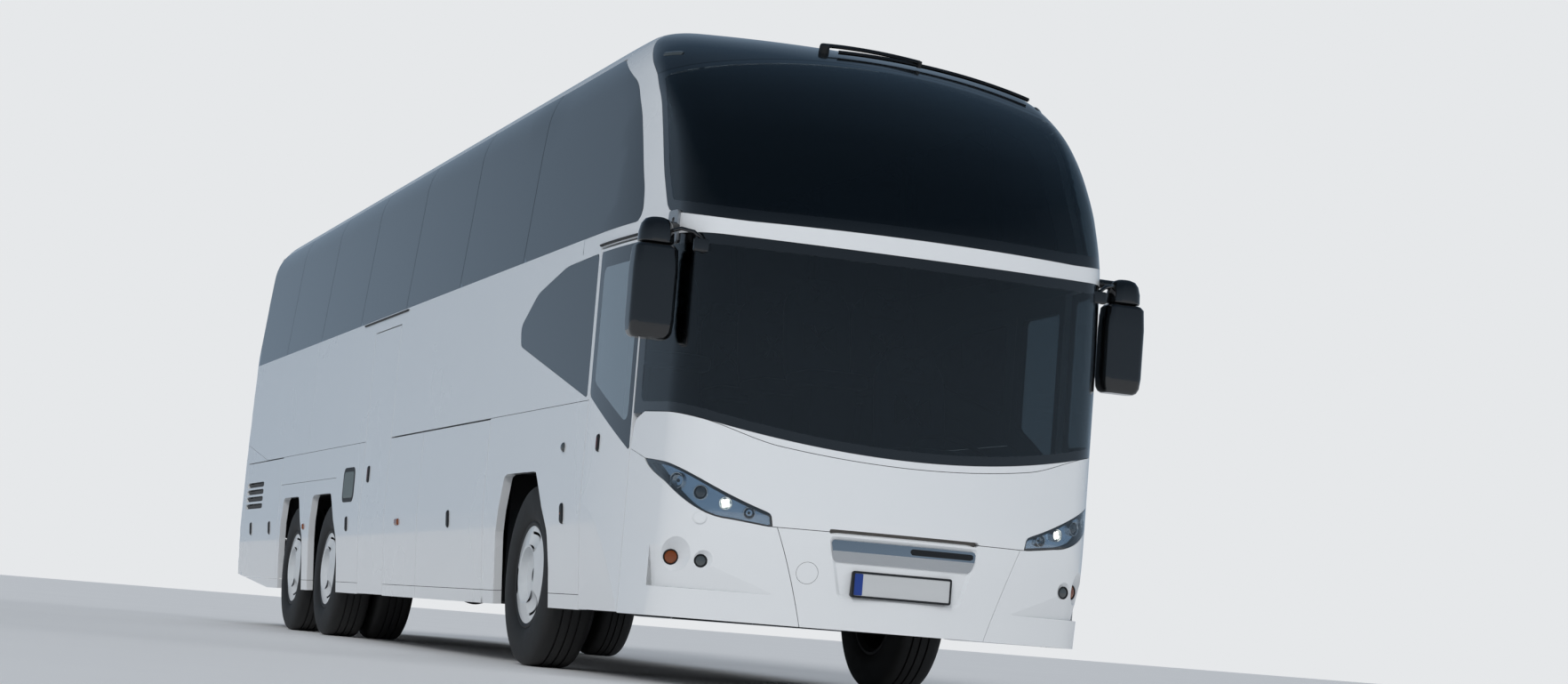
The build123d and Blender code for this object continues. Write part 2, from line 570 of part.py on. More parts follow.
# Rear end: wall with the window and the engine lid, bumper below
RAIL_X = 400.0
TOW_X = -RAIL_X
TOW_Z = 620.0
TOW_MOUTH_Y = REAR_Y - 65.0
TOW_HOLE_R = 55.0
REAR_GLASS_OUTLINE = ((-1010.0, 2400.0, 120.0), (1010.0, 2400.0, 120.0), (930.0, 3250.0, 160.0), (-930.0, 3250.0, 160.0))
REAR_WINDOW_OUTLINE = ((-920.0, 2480.0, 90.0), (920.0, 2480.0, 90.0), (850.0, 3170.0, 120.0), (-850.0, 3170.0, 120.0))
LID_HALF = 850.0
LID_TOP_Z = 2050.0
LID_BOTTOM_Z = REAR_BUMPER_Z + 10.0
TAIL_LAMP_X = 1075.0
TAIL_LAMP_HALF = 70.0
TAIL_LAMP_Z = (1050.0, 1950.0)


def rear_prism(points):
    """Outline in rear elevation, through the back of the body."""
    return front_prism(list(points), REAR_SPLIT_Y + 20, REAR_Y + 50)


def rect(x0, x1, z0, z1, r, margin=0.0):
    """Rounded rectangle in front or rear elevation."""
    return [(x0 - margin, z0 - margin, r), (x1 + margin, z0 - margin, r),
            (x1 + margin, z1 + margin, r), (x0 - margin, z1 + margin, r)]


rear_zone = block(-1400, 1400, REAR_SPLIT_Y, REAR_Y + 50, REAR_BUMPER_Z, 3900)
rear = REAR_SHELL & rear_zone
for s in (-1, 1):
    rear -= side_zone(s, BAND_OUTLINE) & (REAR_OUTER - REAR_SEAT)
    lamp = rect(s * TAIL_LAMP_X - TAIL_LAMP_HALF, s * TAIL_LAMP_X + TAIL_LAMP_HALF, *TAIL_LAMP_Z, 50.0)
    rear -= front_prism(lamp, REAR_SPLIT_Y + 130, REAR_Y + 50)
rear -= rear_prism(REAR_GLASS_OUTLINE) & (REAR_OUTER - REAR_SEAT)
rear -= rear_prism(REAR_WINDOW_OUTLINE)
rear -= rear_prism(rect(-LID_HALF, LID_HALF, LID_BOTTOM_Z, LID_TOP_Z, 40.0, GAP))
LID_HINGE_Y = REAR_Y - REAR_RAKE * (LID_TOP_Z - REAR_RAKE_Z) / (ROOF_Z + 20 - REAR_RAKE_Z)
LID_HINGES = []
for x in (-LID_HALF + HINGE_INSET, LID_HALF - HINGE_INSET):
    web = block(x - HINGE_MIDDLE, x + HINGE_MIDDLE, LID_HINGE_Y - HINGE_R, LID_HINGE_Y, LID_TOP_Z - HINGE_WEB, LID_TOP_Z)
    LID_HINGES.append(hinge_pieces((x, LID_HINGE_Y, LID_TOP_Z), (1, 0, 0), web))
for fixed, fixed_cut, _, _ in LID_HINGES:
    rear = rear - fixed_cut + fixed
parts["rear_wall"] = rear
parts["rear_glass"] = REAR_GLAZING & rear_prism(REAR_GLASS_OUTLINE)
lid = REAR_SHELL & rear_prism(rect(-LID_HALF, LID_HALF, LID_BOTTOM_Z, LID_TOP_Z, 36.0, -GAP))
for _, _, moving, moving_cut in LID_HINGES:
    lid = lid - moving_cut + moving
parts["engine_lid"] = lid
tail = []
for s in (-1, 1):
    lamp = rect(s * TAIL_LAMP_X - TAIL_LAMP_HALF, s * TAIL_LAMP_X + TAIL_LAMP_HALF, *TAIL_LAMP_Z, 49.0, -1.0)
    tail += (REAR_SHELL & front_prism(lamp, REAR_SPLIT_Y + 130, REAR_Y + 50)).solids()
parts["tail_lamps"] = Compound(children=tail)
parts["rear_bumper"] = REAR_SHELL & block(-1400, 1400, REAR_SPLIT_Y, REAR_Y + 50, 0, REAR_BUMPER_Z)
parts["rear_bumper"] -= rod((TOW_X, REAR_Y - 200, TOW_Z), (TOW_X, REAR_Y + 50, TOW_Z), TOW_HOLE_R)

# Doors: outward-swinging leaves carried by two arms on a turning post
POST_X = -1085.0
POST_SETBACK = 225.0
POST_R = 20.0
ARM_R = 14.0
ARM_REST_DEG = -4.0
PIN_R = 10.0
BRACKET_ROOT = 6.0


def door_leaf(shell, y0, y1, top_z, gap):
    """Door panel cut from the body shell, with a running gap all round."""
    zone = block(900, 1400, y0 + gap, y1 - gap, SKIRT_Z + 5, top_z - GAP)
    return shell & mirrored(zone)


DOOR_FRONT_SHELL = FRONT_OUTER - front_envelope(DOOR_THICK)
DOOR_REAR_SHELL = REAR_OUTER - rear_envelope(DOOR_THICK)
front_leaf = door_leaf(DOOR_FRONT_SHELL, DOOR_FRONT_Y, DOOR_REAR_Y, DOOR_TOP_Z, PANEL_GAP)
front_leaf -= side_zone(-1, DOOR_GLASS_OUTLINE) & (FRONT_OUTER - FRONT_SEAT)
front_leaf -= side_zone(-1, DOOR_WINDOW_OUTLINE)
door_pane = FRONT_GLAZING & side_zone(-1, DOOR_GLASS_OUTLINE)
mid_leaf = door_leaf(DOOR_REAR_SHELL, MID_DOOR_FRONT_Y, MID_DOOR_REAR_Y, MID_DOOR_TOP_Z, GAP)

DOORS = {
    "front_door": (DOOR_FRONT_Y, 1, 420.0, (760.0, 1300.0), front_envelope(DOOR_THICK - BRACKET_ROOT)),
    "mid_door": (MID_DOOR_REAR_Y, -1, 520.0, (760.0, 1900.0), rear_envelope(DOOR_THICK - BRACKET_ROOT)),
}
leaves = {"front_door": front_leaf, "mid_door": mid_leaf}
for name, (edge_y, way, reach, heights, root_envelope) in DOORS.items():
    post_y = edge_y + way * POST_SETBACK
    angle = math.radians(ARM_REST_DEG)
    pin_x = POST_X - reach * math.sin(angle)
    pin_y = post_y + way * reach * math.cos(angle)
    bottom = BAY_Z + 45.0
    arms = Pos(POST_X, post_y, (bottom + heights[1] + 60) / 2) * Cylinder(POST_R, heights[1] + 60 - bottom)
    leaf = leaves[name]
    for z in heights:
        arm = rod((POST_X, post_y, z), (pin_x, pin_y, z), ARM_R)
        eye = Pos(pin_x, pin_y, z) * (Cylinder(26, 30) - Cylinder(PIN_R + RUNNING_FIT, 40))
        arms += (arm - Pos(pin_x, pin_y, z) * Cylinder(24, 60)) + eye
        pin = Pos(pin_x, pin_y, z) * Cylinder(PIN_R, 70)
        leg = block(-HALF_WIDTH, pin_x + 10, pin_y - 18, pin_y + 18, z + 21, z + 35)
        leg += block(-HALF_WIDTH, pin_x + 10, pin_y - 18, pin_y + 18, z - 35, z - 21)
        leg = leg & root_envelope
        leaf += leg + pin
    parts[name + "_arms"] = arms
    parts[name] = leaf
parts["front_door_glass"] = door_pane

# Top-hinged flaps
for name, (side, y0, y1) in FLAP_SPANS.items():
    zone = side_zone(side, hole_outline(y0, y1, SKIRT_Z - 60, FLAP_TOP_Z, -GAP))
    outer = FRONT_OUTER + REAR_OUTER if y0 < JOIN_Y else REAR_OUTER
    inner = front_envelope(FLAP_THICK) + rear_envelope(FLAP_THICK) if y0 < JOIN_Y else rear_envelope(FLAP_THICK)
    flap = (outer - inner) & zone
    for arch in ARCHES:
        flap -= side_zone(side, arch_outline(*arch))
    for _, _, moving, moving_cut in FLAP_HINGES[name]:
        flap = flap - moving_cut + moving
    parts[name] = flap

# Wheels and tyres
TYRE_PROFILE = ((-112, RIM_R + TYRE_FIT), (-112, 314), (-143, 340), (-147.5, 405), (-141, 485), (-116, TYRE_R - 4),
                (-95, TYRE_R), (95, TYRE_R), (116, TYRE_R - 4), (141, 485), (147.5, 405), (143, 340),
                (112, 314), (112, RIM_R + TYRE_FIT))
RIM_PROFILE = ((-70, SPINDLE_R + RUNNING_FIT), (-70, 130), (50, 140), (80, 250), (-100, 270), (-126, 292),
               (-126, 308), (-113, 308), (-113, RIM_R), (113, RIM_R), (113, 308), (126, 308), (130, 296),
               (118, 240), (112, 172), (136, 160), (146, 140), (140, 100), (120, 92), (120, SPINDLE_R + RUNNING_FIT))
INNER_RIM_PROFILE = ((-126, 292), (-126, 308), (-113, 308), (-113, RIM_R), (113, RIM_R), (113, 308), (126, 308),
                     (126, 292), (100, 270), (60, 140), (60, 90), (40, 90), (40, 140), (60, 262), (-100, 270))
HUB_TUBE = ((-TWIN_PITCH + 40, SPINDLE_R + RUNNING_FIT), (-TWIN_PITCH + 40, 140), (-60, 140),
            (-60, SPINDLE_R + RUNNING_FIT))
WHEELS = {"front": (FRONT_AXLE_Y, False), "drive": (DRIVE_AXLE_Y, True), "tag": (TAG_AXLE_Y, False)}
for place, (y, twin) in WHEELS.items():
    for side_name, s in (("left", 1), ("right", -1)):
        rim = turned(RIM_PROFILE, s * WHEEL_X, y, TYRE_R, s)
        tyre = turned(TYRE_PROFILE, s * WHEEL_X, y, TYRE_R, s)
        if twin:
            rim += turned(HUB_TUBE, s * WHEEL_X, y, TYRE_R, s)
            rim += turned(INNER_RIM_PROFILE, s * INNER_WHEEL_X, y, TYRE_R, s)
            second = turned(TYRE_PROFILE, s * INNER_WHEEL_X, y, TYRE_R, s)
            tyre = Compound(children=tyre.solids() + second.solids())
        parts[f"wheel_{place}_{side_name}"] = rim
        parts[f"tyre_{place}_{side_name}"] = tyre

# Axles, knuckles and the tie rod
KINGPIN_X = 900.0
KINGPIN_R = 24.0
BOSS_HALF = 70.0
FORK_GAP = 6.0
SPINDLE_END_X = WHEEL_X + 100.0
ARM_END_X = KINGPIN_X
ARM_END_Y = FRONT_AXLE_Y + 245.0
ARM_END_Z = 385.0
TIE_ROD_R = 16.0
TIE_PIN_R = 12.0
TIE_EYE_R = 26.0
TIE_EYE_HEIGHT = 34.0
OPEN_PIVOT_FIT = 2.0
HUB_CLEAR = 12.0
front_beam = rod((-KINGPIN_X + 45, FRONT_AXLE_Y, TYRE_R), (KINGPIN_X - 45, FRONT_AXLE_Y, TYRE_R), 55)
drive_beam = rod((-WHEEL_X - 100, DRIVE_AXLE_Y, TYRE_R), (WHEEL_X + 100, DRIVE_AXLE_Y, TYRE_R), SPINDLE_R)
tube_half = INNER_WHEEL_X - 140
drive_beam += rod((-tube_half, DRIVE_AXLE_Y, TYRE_R), (tube_half, DRIVE_AXLE_Y, TYRE_R), 85)
drive_beam += Pos(0, DRIVE_AXLE_Y, TYRE_R) * Sphere(190)
tag_beam = rod((-WHEEL_X - 100, TAG_AXLE_Y, TYRE_R), (WHEEL_X + 100, TAG_AXLE_Y, TYRE_R), SPINDLE_R)
tag_half = WHEEL_X - 70 - HUB_CLEAR
tag_beam += rod((-tag_half, TAG_AXLE_Y, TYRE_R), (tag_half, TAG_AXLE_Y, TYRE_R), 70)
for s in (-1, 1):
    boss = Pos(s * KINGPIN_X, FRONT_AXLE_Y, TYRE_R) * Cylinder(48, 2 * BOSS_HALF)
    front_beam = front_beam + boss - Pos(s * KINGPIN_X, FRONT_AXLE_Y, TYRE_R) * Cylinder(KINGPIN_R + RUNNING_FIT, 400)
FRONT_RAIL_Z = (620.0, 760.0)
REAR_RAIL_Z = (720.0, 860.0)
BELLOWS_R = 105.0
for s in (-1, 1):
    front_beam += rod((s * RAIL_X, FRONT_AXLE_Y, TYRE_R), (s * RAIL_X, FRONT_AXLE_Y, FRONT_RAIL_Z[0] - SEAT_GAP), 50)
    drive_beam += rod((s * RAIL_X, DRIVE_AXLE_Y, TYRE_R), (s * RAIL_X, DRIVE_AXLE_Y, REAR_RAIL_Z[0] - SEAT_GAP), BELLOWS_R)
    tag_beam += rod((s * RAIL_X, TAG_AXLE_Y, TYRE_R), (s * RAIL_X, TAG_AXLE_Y, REAR_RAIL_Z[0] - SEAT_GAP), BELLOWS_R)
parts["axles"] = Compound(children=front_beam.solids() + drive_beam.solids() + tag_beam.solids())
for side_name, s in (("left", 1), ("right", -1)):
    pin = Pos(s * KINGPIN_X, FRONT_AXLE_Y, TYRE_R) * Cylinder(KINGPIN_R, 2 * BOSS_HALF + 90)
    knuckle = pin
    for up in (-1, 1):
        z0 = TYRE_R + up * (BOSS_HALF + FORK_GAP + 14)
        knuckle += Pos(s * KINGPIN_X, FRONT_AXLE_Y, z0) * Cylinder(46, 28)
        knuckle += Pos(s * (KINGPIN_X + 40), FRONT_AXLE_Y, z0) * Box(80, 80, 28)
    knuckle += Pos(s * (KINGPIN_X + 72), FRONT_AXLE_Y, TYRE_R) * Box(30, 90, 2 * BOSS_HALF + 2 * FORK_GAP + 56)
    knuckle += rod((s * (KINGPIN_X + 75), FRONT_AXLE_Y, TYRE_R), (s * SPINDLE_END_X, FRONT_AXLE_Y, TYRE_R), SPINDLE_R)
    low = TYRE_R - BOSS_HALF - FORK_GAP - 14
    knuckle += rod((s * (KINGPIN_X - 10), FRONT_AXLE_Y + 20, low), (s * ARM_END_X, ARM_END_Y, low), TIE_ROD_R)
    knuckle += Pos(s * ARM_END_X, ARM_END_Y, (low + ARM_END_Z) / 2 - 15) * Cylinder(TIE_PIN_R, low - ARM_END_Z + 60)
    parts[f"knuckle_{side_name}"] = knuckle
tie = rod((-ARM_END_X + 20, ARM_END_Y, ARM_END_Z), (ARM_END_X - 20, ARM_END_Y, ARM_END_Z), TIE_ROD_R)
for s, clearance in ((1, RUNNING_FIT), (-1, OPEN_PIVOT_FIT)):
    tie += Pos(s * ARM_END_X, ARM_END_Y, ARM_END_Z) * Cylinder(TIE_EYE_R, TIE_EYE_HEIGHT)
    tie -= Pos(s * ARM_END_X, ARM_END_Y, ARM_END_Z) * Cylinder(TIE_PIN_R + clearance, 2 * TIE_EYE_HEIGHT)
parts["tie_rod"] = tie

# Floors, housings and the underside
RAIL_HALF = 40.0
FRONT_RAIL_Y = -6000.0
REAR_RAIL_Y = 6150.0
CROSS_WIDTH = 80.0
FRONT_CROSS_Y = FRONT_RAIL_Y + 50.0
REAR_CROSS_Y = 4400.0
FRONT_JACK_Y = -5000.0
REAR_JACK_Y = 4900.0
JACK_PAD_HALF = (30.0, 60.0)
JACK_PAD_HEIGHT = 12.0
TOW_HALF = 35.0
TOW_TUBE_R = 40.0
TOW_ROOT_Y = REAR_RAIL_Y - 200.0
TOW_DEPTH = 120.0
TOW_BORE_R = 21.0


def jack_pad(x, y, rail_z):
    """Flat pad under a rail for the head of a jack."""
    half_x, half_y = JACK_PAD_HALF
    return block(x - half_x, x + half_x, y - half_y, y + half_y, rail_z - JACK_PAD_HEIGHT, rail_z)


HOUSING_TOP_Z = 1130.0
HOUSING_WALL = 8.0
FRONT_HOUSING = (FRONT_AXLE_Y - 680, FRONT_AXLE_Y + 700, 470.0)
REAR_HOUSING = (DRIVE_AXLE_Y - 610, TAG_AXLE_Y + 600, 540.0)
INNER_SIDE_X = HALF_WIDTH - TUCK - WALL - 12.0
housings = []
for y0, y1, x0 in (FRONT_HOUSING, REAR_HOUSING):
    outer = block(x0 - HOUSING_WALL, INNER_SIDE_X, y0 - HOUSING_WALL, y1 + HOUSING_WALL, SKIRT_Z + 20, HOUSING_TOP_Z + HOUSING_WALL)
    void = block(x0, INNER_SIDE_X + 5, y0, y1, 0, HOUSING_TOP_Z)
    liner = outer - void
    if y0 > 0:
        for axle_y in (DRIVE_AXLE_Y, TAG_AXLE_Y):
            liner -= block(x0 - 20, x0 + 5, axle_y - 110, axle_y + 110, 0, TYRE_R + 130)
    else:
        liner -= block(x0 - 20, x0 + 5, FRONT_AXLE_Y - 90, FRONT_AXLE_Y + 290, 0, TYRE_R + 110)
    housings += [liner, mirrored(liner)]
parts["wheel_housings"] = Compound(children=[b for h in housings for b in h.solids()])

deck_half = HALF_WIDTH - WALL - SEAT_GAP
riser_y = FRONT_HOUSING[0] - HOUSING_WALL - SEAT_GAP
deck = block(-deck_half, deck_half, riser_y - FLOOR_THICK, REAR_SPLIT_Y, DECK_Z - FLOOR_THICK, DECK_Z)
deck -= block(-1400, -650, MID_DOOR_FRONT_Y + 10, MID_DOOR_REAR_Y - 10, 0, 3000)
cockpit = block(-1130, 1130, -6050, riser_y, COCKPIT_Z - FLOOR_THICK, COCKPIT_Z)
cockpit -= block(-1400, -560, DOOR_FRONT_Y + 20, DOOR_REAR_Y - 20, 0, 3000)
riser = block(-1130, 1130, riser_y - FLOOR_THICK, riser_y, COCKPIT_Z - FLOOR_THICK, DECK_Z - FLOOR_THICK)
step = block(-1150, -560, DOOR_FRONT_Y + 20, DOOR_REAR_Y - 20, BAY_Z, BAY_Z + FLOOR_THICK - SEAT_GAP)
step += block(-560, -560 + FLOOR_THICK, DOOR_FRONT_Y + 20, DOOR_REAR_Y - 20, BAY_Z, COCKPIT_Z - FLOOR_THICK)
mid_step = block(-1150, -650, MID_DOOR_FRONT_Y + 10, MID_DOOR_REAR_Y - 10, BAY_Z, BAY_Z + FLOOR_THICK - SEAT_GAP)
mid_step += block(-650, -650 + FLOOR_THICK, MID_DOOR_FRONT_Y + 10, MID_DOOR_REAR_Y - 10, BAY_Z, DECK_Z - FLOOR_THICK)
parts["floor"] = deck + cockpit + riser + step + mid_step

bay_half = HALF_WIDTH - TUCK - WALL - 15
bay_front = FRONT_HOUSING[1] + HOUSING_WALL + SEAT_GAP
bay_rear = REAR_HOUSING[0] - HOUSING_WALL - SEAT_GAP
under = block(-bay_half, bay_half, bay_front, bay_rear, BAY_Z - FLOOR_THICK, BAY_Z)
under += block(-bay_half, bay_half, bay_front, bay_front + FLOOR_THICK, BAY_Z, DECK_Z - FLOOR_THICK)
under += block(-bay_half, bay_half, bay_rear - FLOOR_THICK, bay_rear, BAY_Z, DECK_Z - FLOOR_THICK)
parts["underfloor"] = under

# Frame rails with their cross members, jacking pads and the rear tow socket
front_rails = block(-RAIL_X, RAIL_X, FRONT_CROSS_Y, FRONT_CROSS_Y + CROSS_WIDTH, *FRONT_RAIL_Z)
rear_rails = block(-RAIL_X, RAIL_X, REAR_CROSS_Y, REAR_CROSS_Y + CROSS_WIDTH, *REAR_RAIL_Z)
for s in (-1, 1):
    x0, x1 = s * RAIL_X - RAIL_HALF, s * RAIL_X + RAIL_HALF
    front_rails += block(x0, x1, FRONT_RAIL_Y, bay_front - SEAT_GAP, *FRONT_RAIL_Z)
    rear_rails += block(x0, x1, bay_rear + SEAT_GAP, REAR_RAIL_Y, *REAR_RAIL_Z)
    front_rails += jack_pad(s * RAIL_X, FRONT_JACK_Y, FRONT_RAIL_Z[0])
    rear_rails += jack_pad(s * RAIL_X, REAR_JACK_Y, REAR_RAIL_Z[0])
rear_rails += block(TOW_X - TOW_HALF, TOW_X + TOW_HALF, TOW_ROOT_Y, REAR_RAIL_Y, TOW_Z - TOW_TUBE_R, REAR_RAIL_Z[0])
rear_rails += rod((TOW_X, TOW_ROOT_Y, TOW_Z), (TOW_X, TOW_MOUTH_Y, TOW_Z), TOW_TUBE_R)
rear_rails -= rod((TOW_X, TOW_MOUTH_Y - TOW_DEPTH, TOW_Z), (TOW_X, TOW_MOUTH_Y + 50, TOW_Z), TOW_BORE_R)
parts["front_rails"] = front_rails
parts["rear_rails"] = rear_rails

engine_half = RAIL_X - RAIL_HALF - SEAT_GAP
parts["engine"] = block(-engine_half, engine_half, 4600, 5950, 480, 1300)

# Interior that shows through the glass
seats = []
SEAT_PITCH = 830.0
seat_base = block(-220, 220, -220, 220, 380, 470) + block(-150, 150, -150, 150, 0, 380)
seat_back = Pos(0, 230, 720) * Rot(-12, 0, 0) * Box(440, 110, 720)
coach_seat = seat_base + seat_back
for row in range(12):
    y = -3900 + row * SEAT_PITCH
    for x in (-955, -505, 505, 955):
        if x < 0 and MID_DOOR_FRONT_Y - 500 < y < MID_DOOR_REAR_Y + 350:
            continue
        seats += (Pos(x, y, DECK_Z + SEAT_GAP) * coach_seat).solids()
parts["passenger_seats"] = Compound(children=seats)
driver = Pos(620, -5150, COCKPIT_Z + SEAT_GAP) * coach_seat
parts["driver_seat"] = driver
dash = block(-1000, 1080, -6250, -5820, COCKPIT_Z, 1080) + block(250, 1000, -5900, -5700, 1040, 1190)
dash = dash & front_envelope(WALL + 10.0)
parts["dashboard"] = dash
wheel_c = (620.0, -5560.0, 1310.0)
steer = Pos(*wheel_c) * Rot(35, 0, 0) * (Torus(225, 14) + Cylinder(50, 30) + Box(440, 30, 14))
steer += rod((620.0, -5760.0, 1191.0), wheel_c, 22)
parts["steering_wheel"] = steer - dash

# Outside fittings
mirrors = []
for s in (-1, 1):
    arm = rod((s * 1215, -5850, 2330), (s * 1330, -6120, 2330), 22) + rod((s * 1330, -6120, 2330), (s * 1330, -6120, 2180), 30)
    head = Pos(s * 1330, -6130, 1960) * Box(230, 150, 520)
    mirrors += (arm + head - FRONT_OUTER).solids()
parts["mirrors"] = Compound(children=mirrors)
unit = side_prism([(1300, ROOF_Z - 200, 0), (1520, ROOF_Z + 60, 150), (4080, ROOF_Z + 60, 150),
                   (4300, ROOF_Z - 200, 0)], -900, 900)
unit = unit & front_prism([(-800, ROOF_Z - 200, 0), (-620, ROOF_Z + 60, 120), (620, ROOF_Z + 60, 120),
                           (800, ROOF_Z - 200, 0)], 1200, 4400)
unit = unit - REAR_OUTER
parts["roof_unit"] = unit
os.makedirs("parts", exist_ok=True)
for name, shape in parts.items():
    export_step(shape, f"parts/{name}.step")
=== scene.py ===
"""Looks of a three-axle touring coach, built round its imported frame.

Units are metres. Forward is -Y, the right-hand side with the doors is -X, up is +Z.
The skins are drawn again, finer, from the same sections as the frame's solids: each is a patch of one
closed body form, clipped along the outlines of the real panels, and given the panel's thickness.
"""
import logging
import math
from dataclasses import dataclass, field
from enum import Enum
from typing import Callable, Iterable, Sequence

import bpy
import numpy as np
from mathutils import Matrix, Vector


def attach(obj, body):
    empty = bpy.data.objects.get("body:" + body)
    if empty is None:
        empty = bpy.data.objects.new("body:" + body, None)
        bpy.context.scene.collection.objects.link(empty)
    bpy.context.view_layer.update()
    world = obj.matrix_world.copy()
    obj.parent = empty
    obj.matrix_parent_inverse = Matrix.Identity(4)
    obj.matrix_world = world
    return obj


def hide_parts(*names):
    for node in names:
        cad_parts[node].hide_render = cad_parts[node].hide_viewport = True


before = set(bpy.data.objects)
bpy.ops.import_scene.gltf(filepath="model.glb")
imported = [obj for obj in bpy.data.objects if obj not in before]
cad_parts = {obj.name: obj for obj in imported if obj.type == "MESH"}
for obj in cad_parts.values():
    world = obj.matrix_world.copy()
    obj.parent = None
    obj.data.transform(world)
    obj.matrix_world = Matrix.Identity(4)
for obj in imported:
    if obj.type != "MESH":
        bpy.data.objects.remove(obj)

LOG = logging.getLogger("coach")
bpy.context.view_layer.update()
Array = np.ndarray
Outline = Sequence[tuple[float, float, float]]
Profile = Sequence[tuple[float, float]]
Zone = Callable[[Array], Array]

# Body that everything without a joint of its own rides on
ROOT = "coach_body"
# Overall sizes, and the stations of the axles
LENGTH, HALF_WIDTH, ROOF_Z = 12.99, 1.275, 3.740
FRONT_Y, REAR_Y = -LENGTH / 2, LENGTH / 2
AXLES = {"front": FRONT_Y + 2.680, "drive": FRONT_Y + 8.740, "tag": FRONT_Y + 10.210}
TYRE_R, WHEEL_X, INNER_WHEEL_X = 0.522, 1.0775, 0.7425
# Thickness of panels and glass, depth of the frames behind the glass, gaps of moving parts, panels and panes
WALL, GLASS, SEAT, GAP, JOINT, GLASS_GAP = 0.050, 0.012, 0.0123, 0.004, 0.0016, 0.001
# Heights of the skirt, the flaps' upper edge, the waist, the glass band and the passengers' floor
SKIRT_Z, FLAP_TOP_Z, WAIST_Z, BAND_Z, COVE_Z, DECK_Z = 0.340, 1.462, 1.468, 2.385, 3.440, 1.400
# Stations and upper edges of the doors
DOOR_FRONT_Y, DOOR_REAR_Y, DOOR_TOP_Z = -5.675, -4.965, 2.290
MID_DOOR, MID_DOOR_TOP_Z = (0.005, 0.885), 2.280
# Lower edge of the hoop over the front door
HOOP_FOOT_Z = DOOR_TOP_Z + 0.008
# Stations where the hoop ends, where the front form ends and where the rear wall starts
HOOP_REAR_Y, JOIN_Y, REAR_SPLIT_Y = -4.600, -2.800, REAR_Y - 0.240
# Place on the middle plane that the rays to the front end leave
EYE_Y, EYE_Z = -4.6, 2.0
# Value past every place on the coach, and lengths, areas and divisors that count as nothing
FAR, TINY, NO_AREA, ZERO = 9.0, 1e-6, 1e-9, 1e-12
# Sockets of Blender's Mix node when it mixes colours: both inputs and the result
MIX_A, MIX_B, MIXED = 6, 7, 2
# Colour noise and thread bump that all finishes share
DRIFT = {"Detail": 3.0, "Roughness": 0.55}
LACQUER_ROUGHNESS, THREAD_BEND, THREAD_BUMP = 0.03, 0.6, {"Strength": 0.7, "Distance": 0.0006}
# Period in metres of Blender's wave texture at a scale of one
WAVE_PERIOD = 0.314
# Corners of a turned profile that are sharper than this many degrees stay sharp
HARD = 40.0


class Side(Enum):
    """Which side of the coach a piece is on; the value is the sign of X."""

    RIGHT = -1
    LEFT = 1

    @property
    def label(self) -> str:
        """Lower-case word for piece names."""
        return self.name.lower()


def linear(code: str) -> tuple[float, float, float, float]:
    """Turn an sRGB colour code into linear light.

    Args:
        code: Six hexadecimal digits, with or without a leading hash.

    Returns:
        Red, green, blue and an alpha of one.
    """
    digits = code.lstrip("#")
    values = [int(digits[i:i + 2], 16) / 255.0 for i in (0, 2, 4)]
    red, green, blue = [v / 12.92 if v <= 0.04045 else ((v + 0.055) / 1.055) ** 2.4 for v in values]
    return (red, green, blue, 1.0)


def add_node(tree: bpy.types.NodeTree, kind: str, settings: dict | None = None,
             links: dict | None = None) -> bpy.types.Node:
    """Add one shader node with its settings and the links into it.

    Args:
        tree: Node tree that gets the node.
        kind: Blender's type name of the node.
        settings: Values for attributes or, where the name is a socket's, for input sockets.
        links: Input socket name or number to the output socket that feeds it.

    Returns:
        The new node.
    """
    node = tree.nodes.new(kind)
    for key, value in (settings or {}).items():
        if isinstance(key, int) or key in node.inputs:
            node.inputs[key].default_value = value
        else:
            setattr(node, key, value)
    for key, source in (links or {}).items():
        tree.links.new(source, node.inputs[key])
    return node


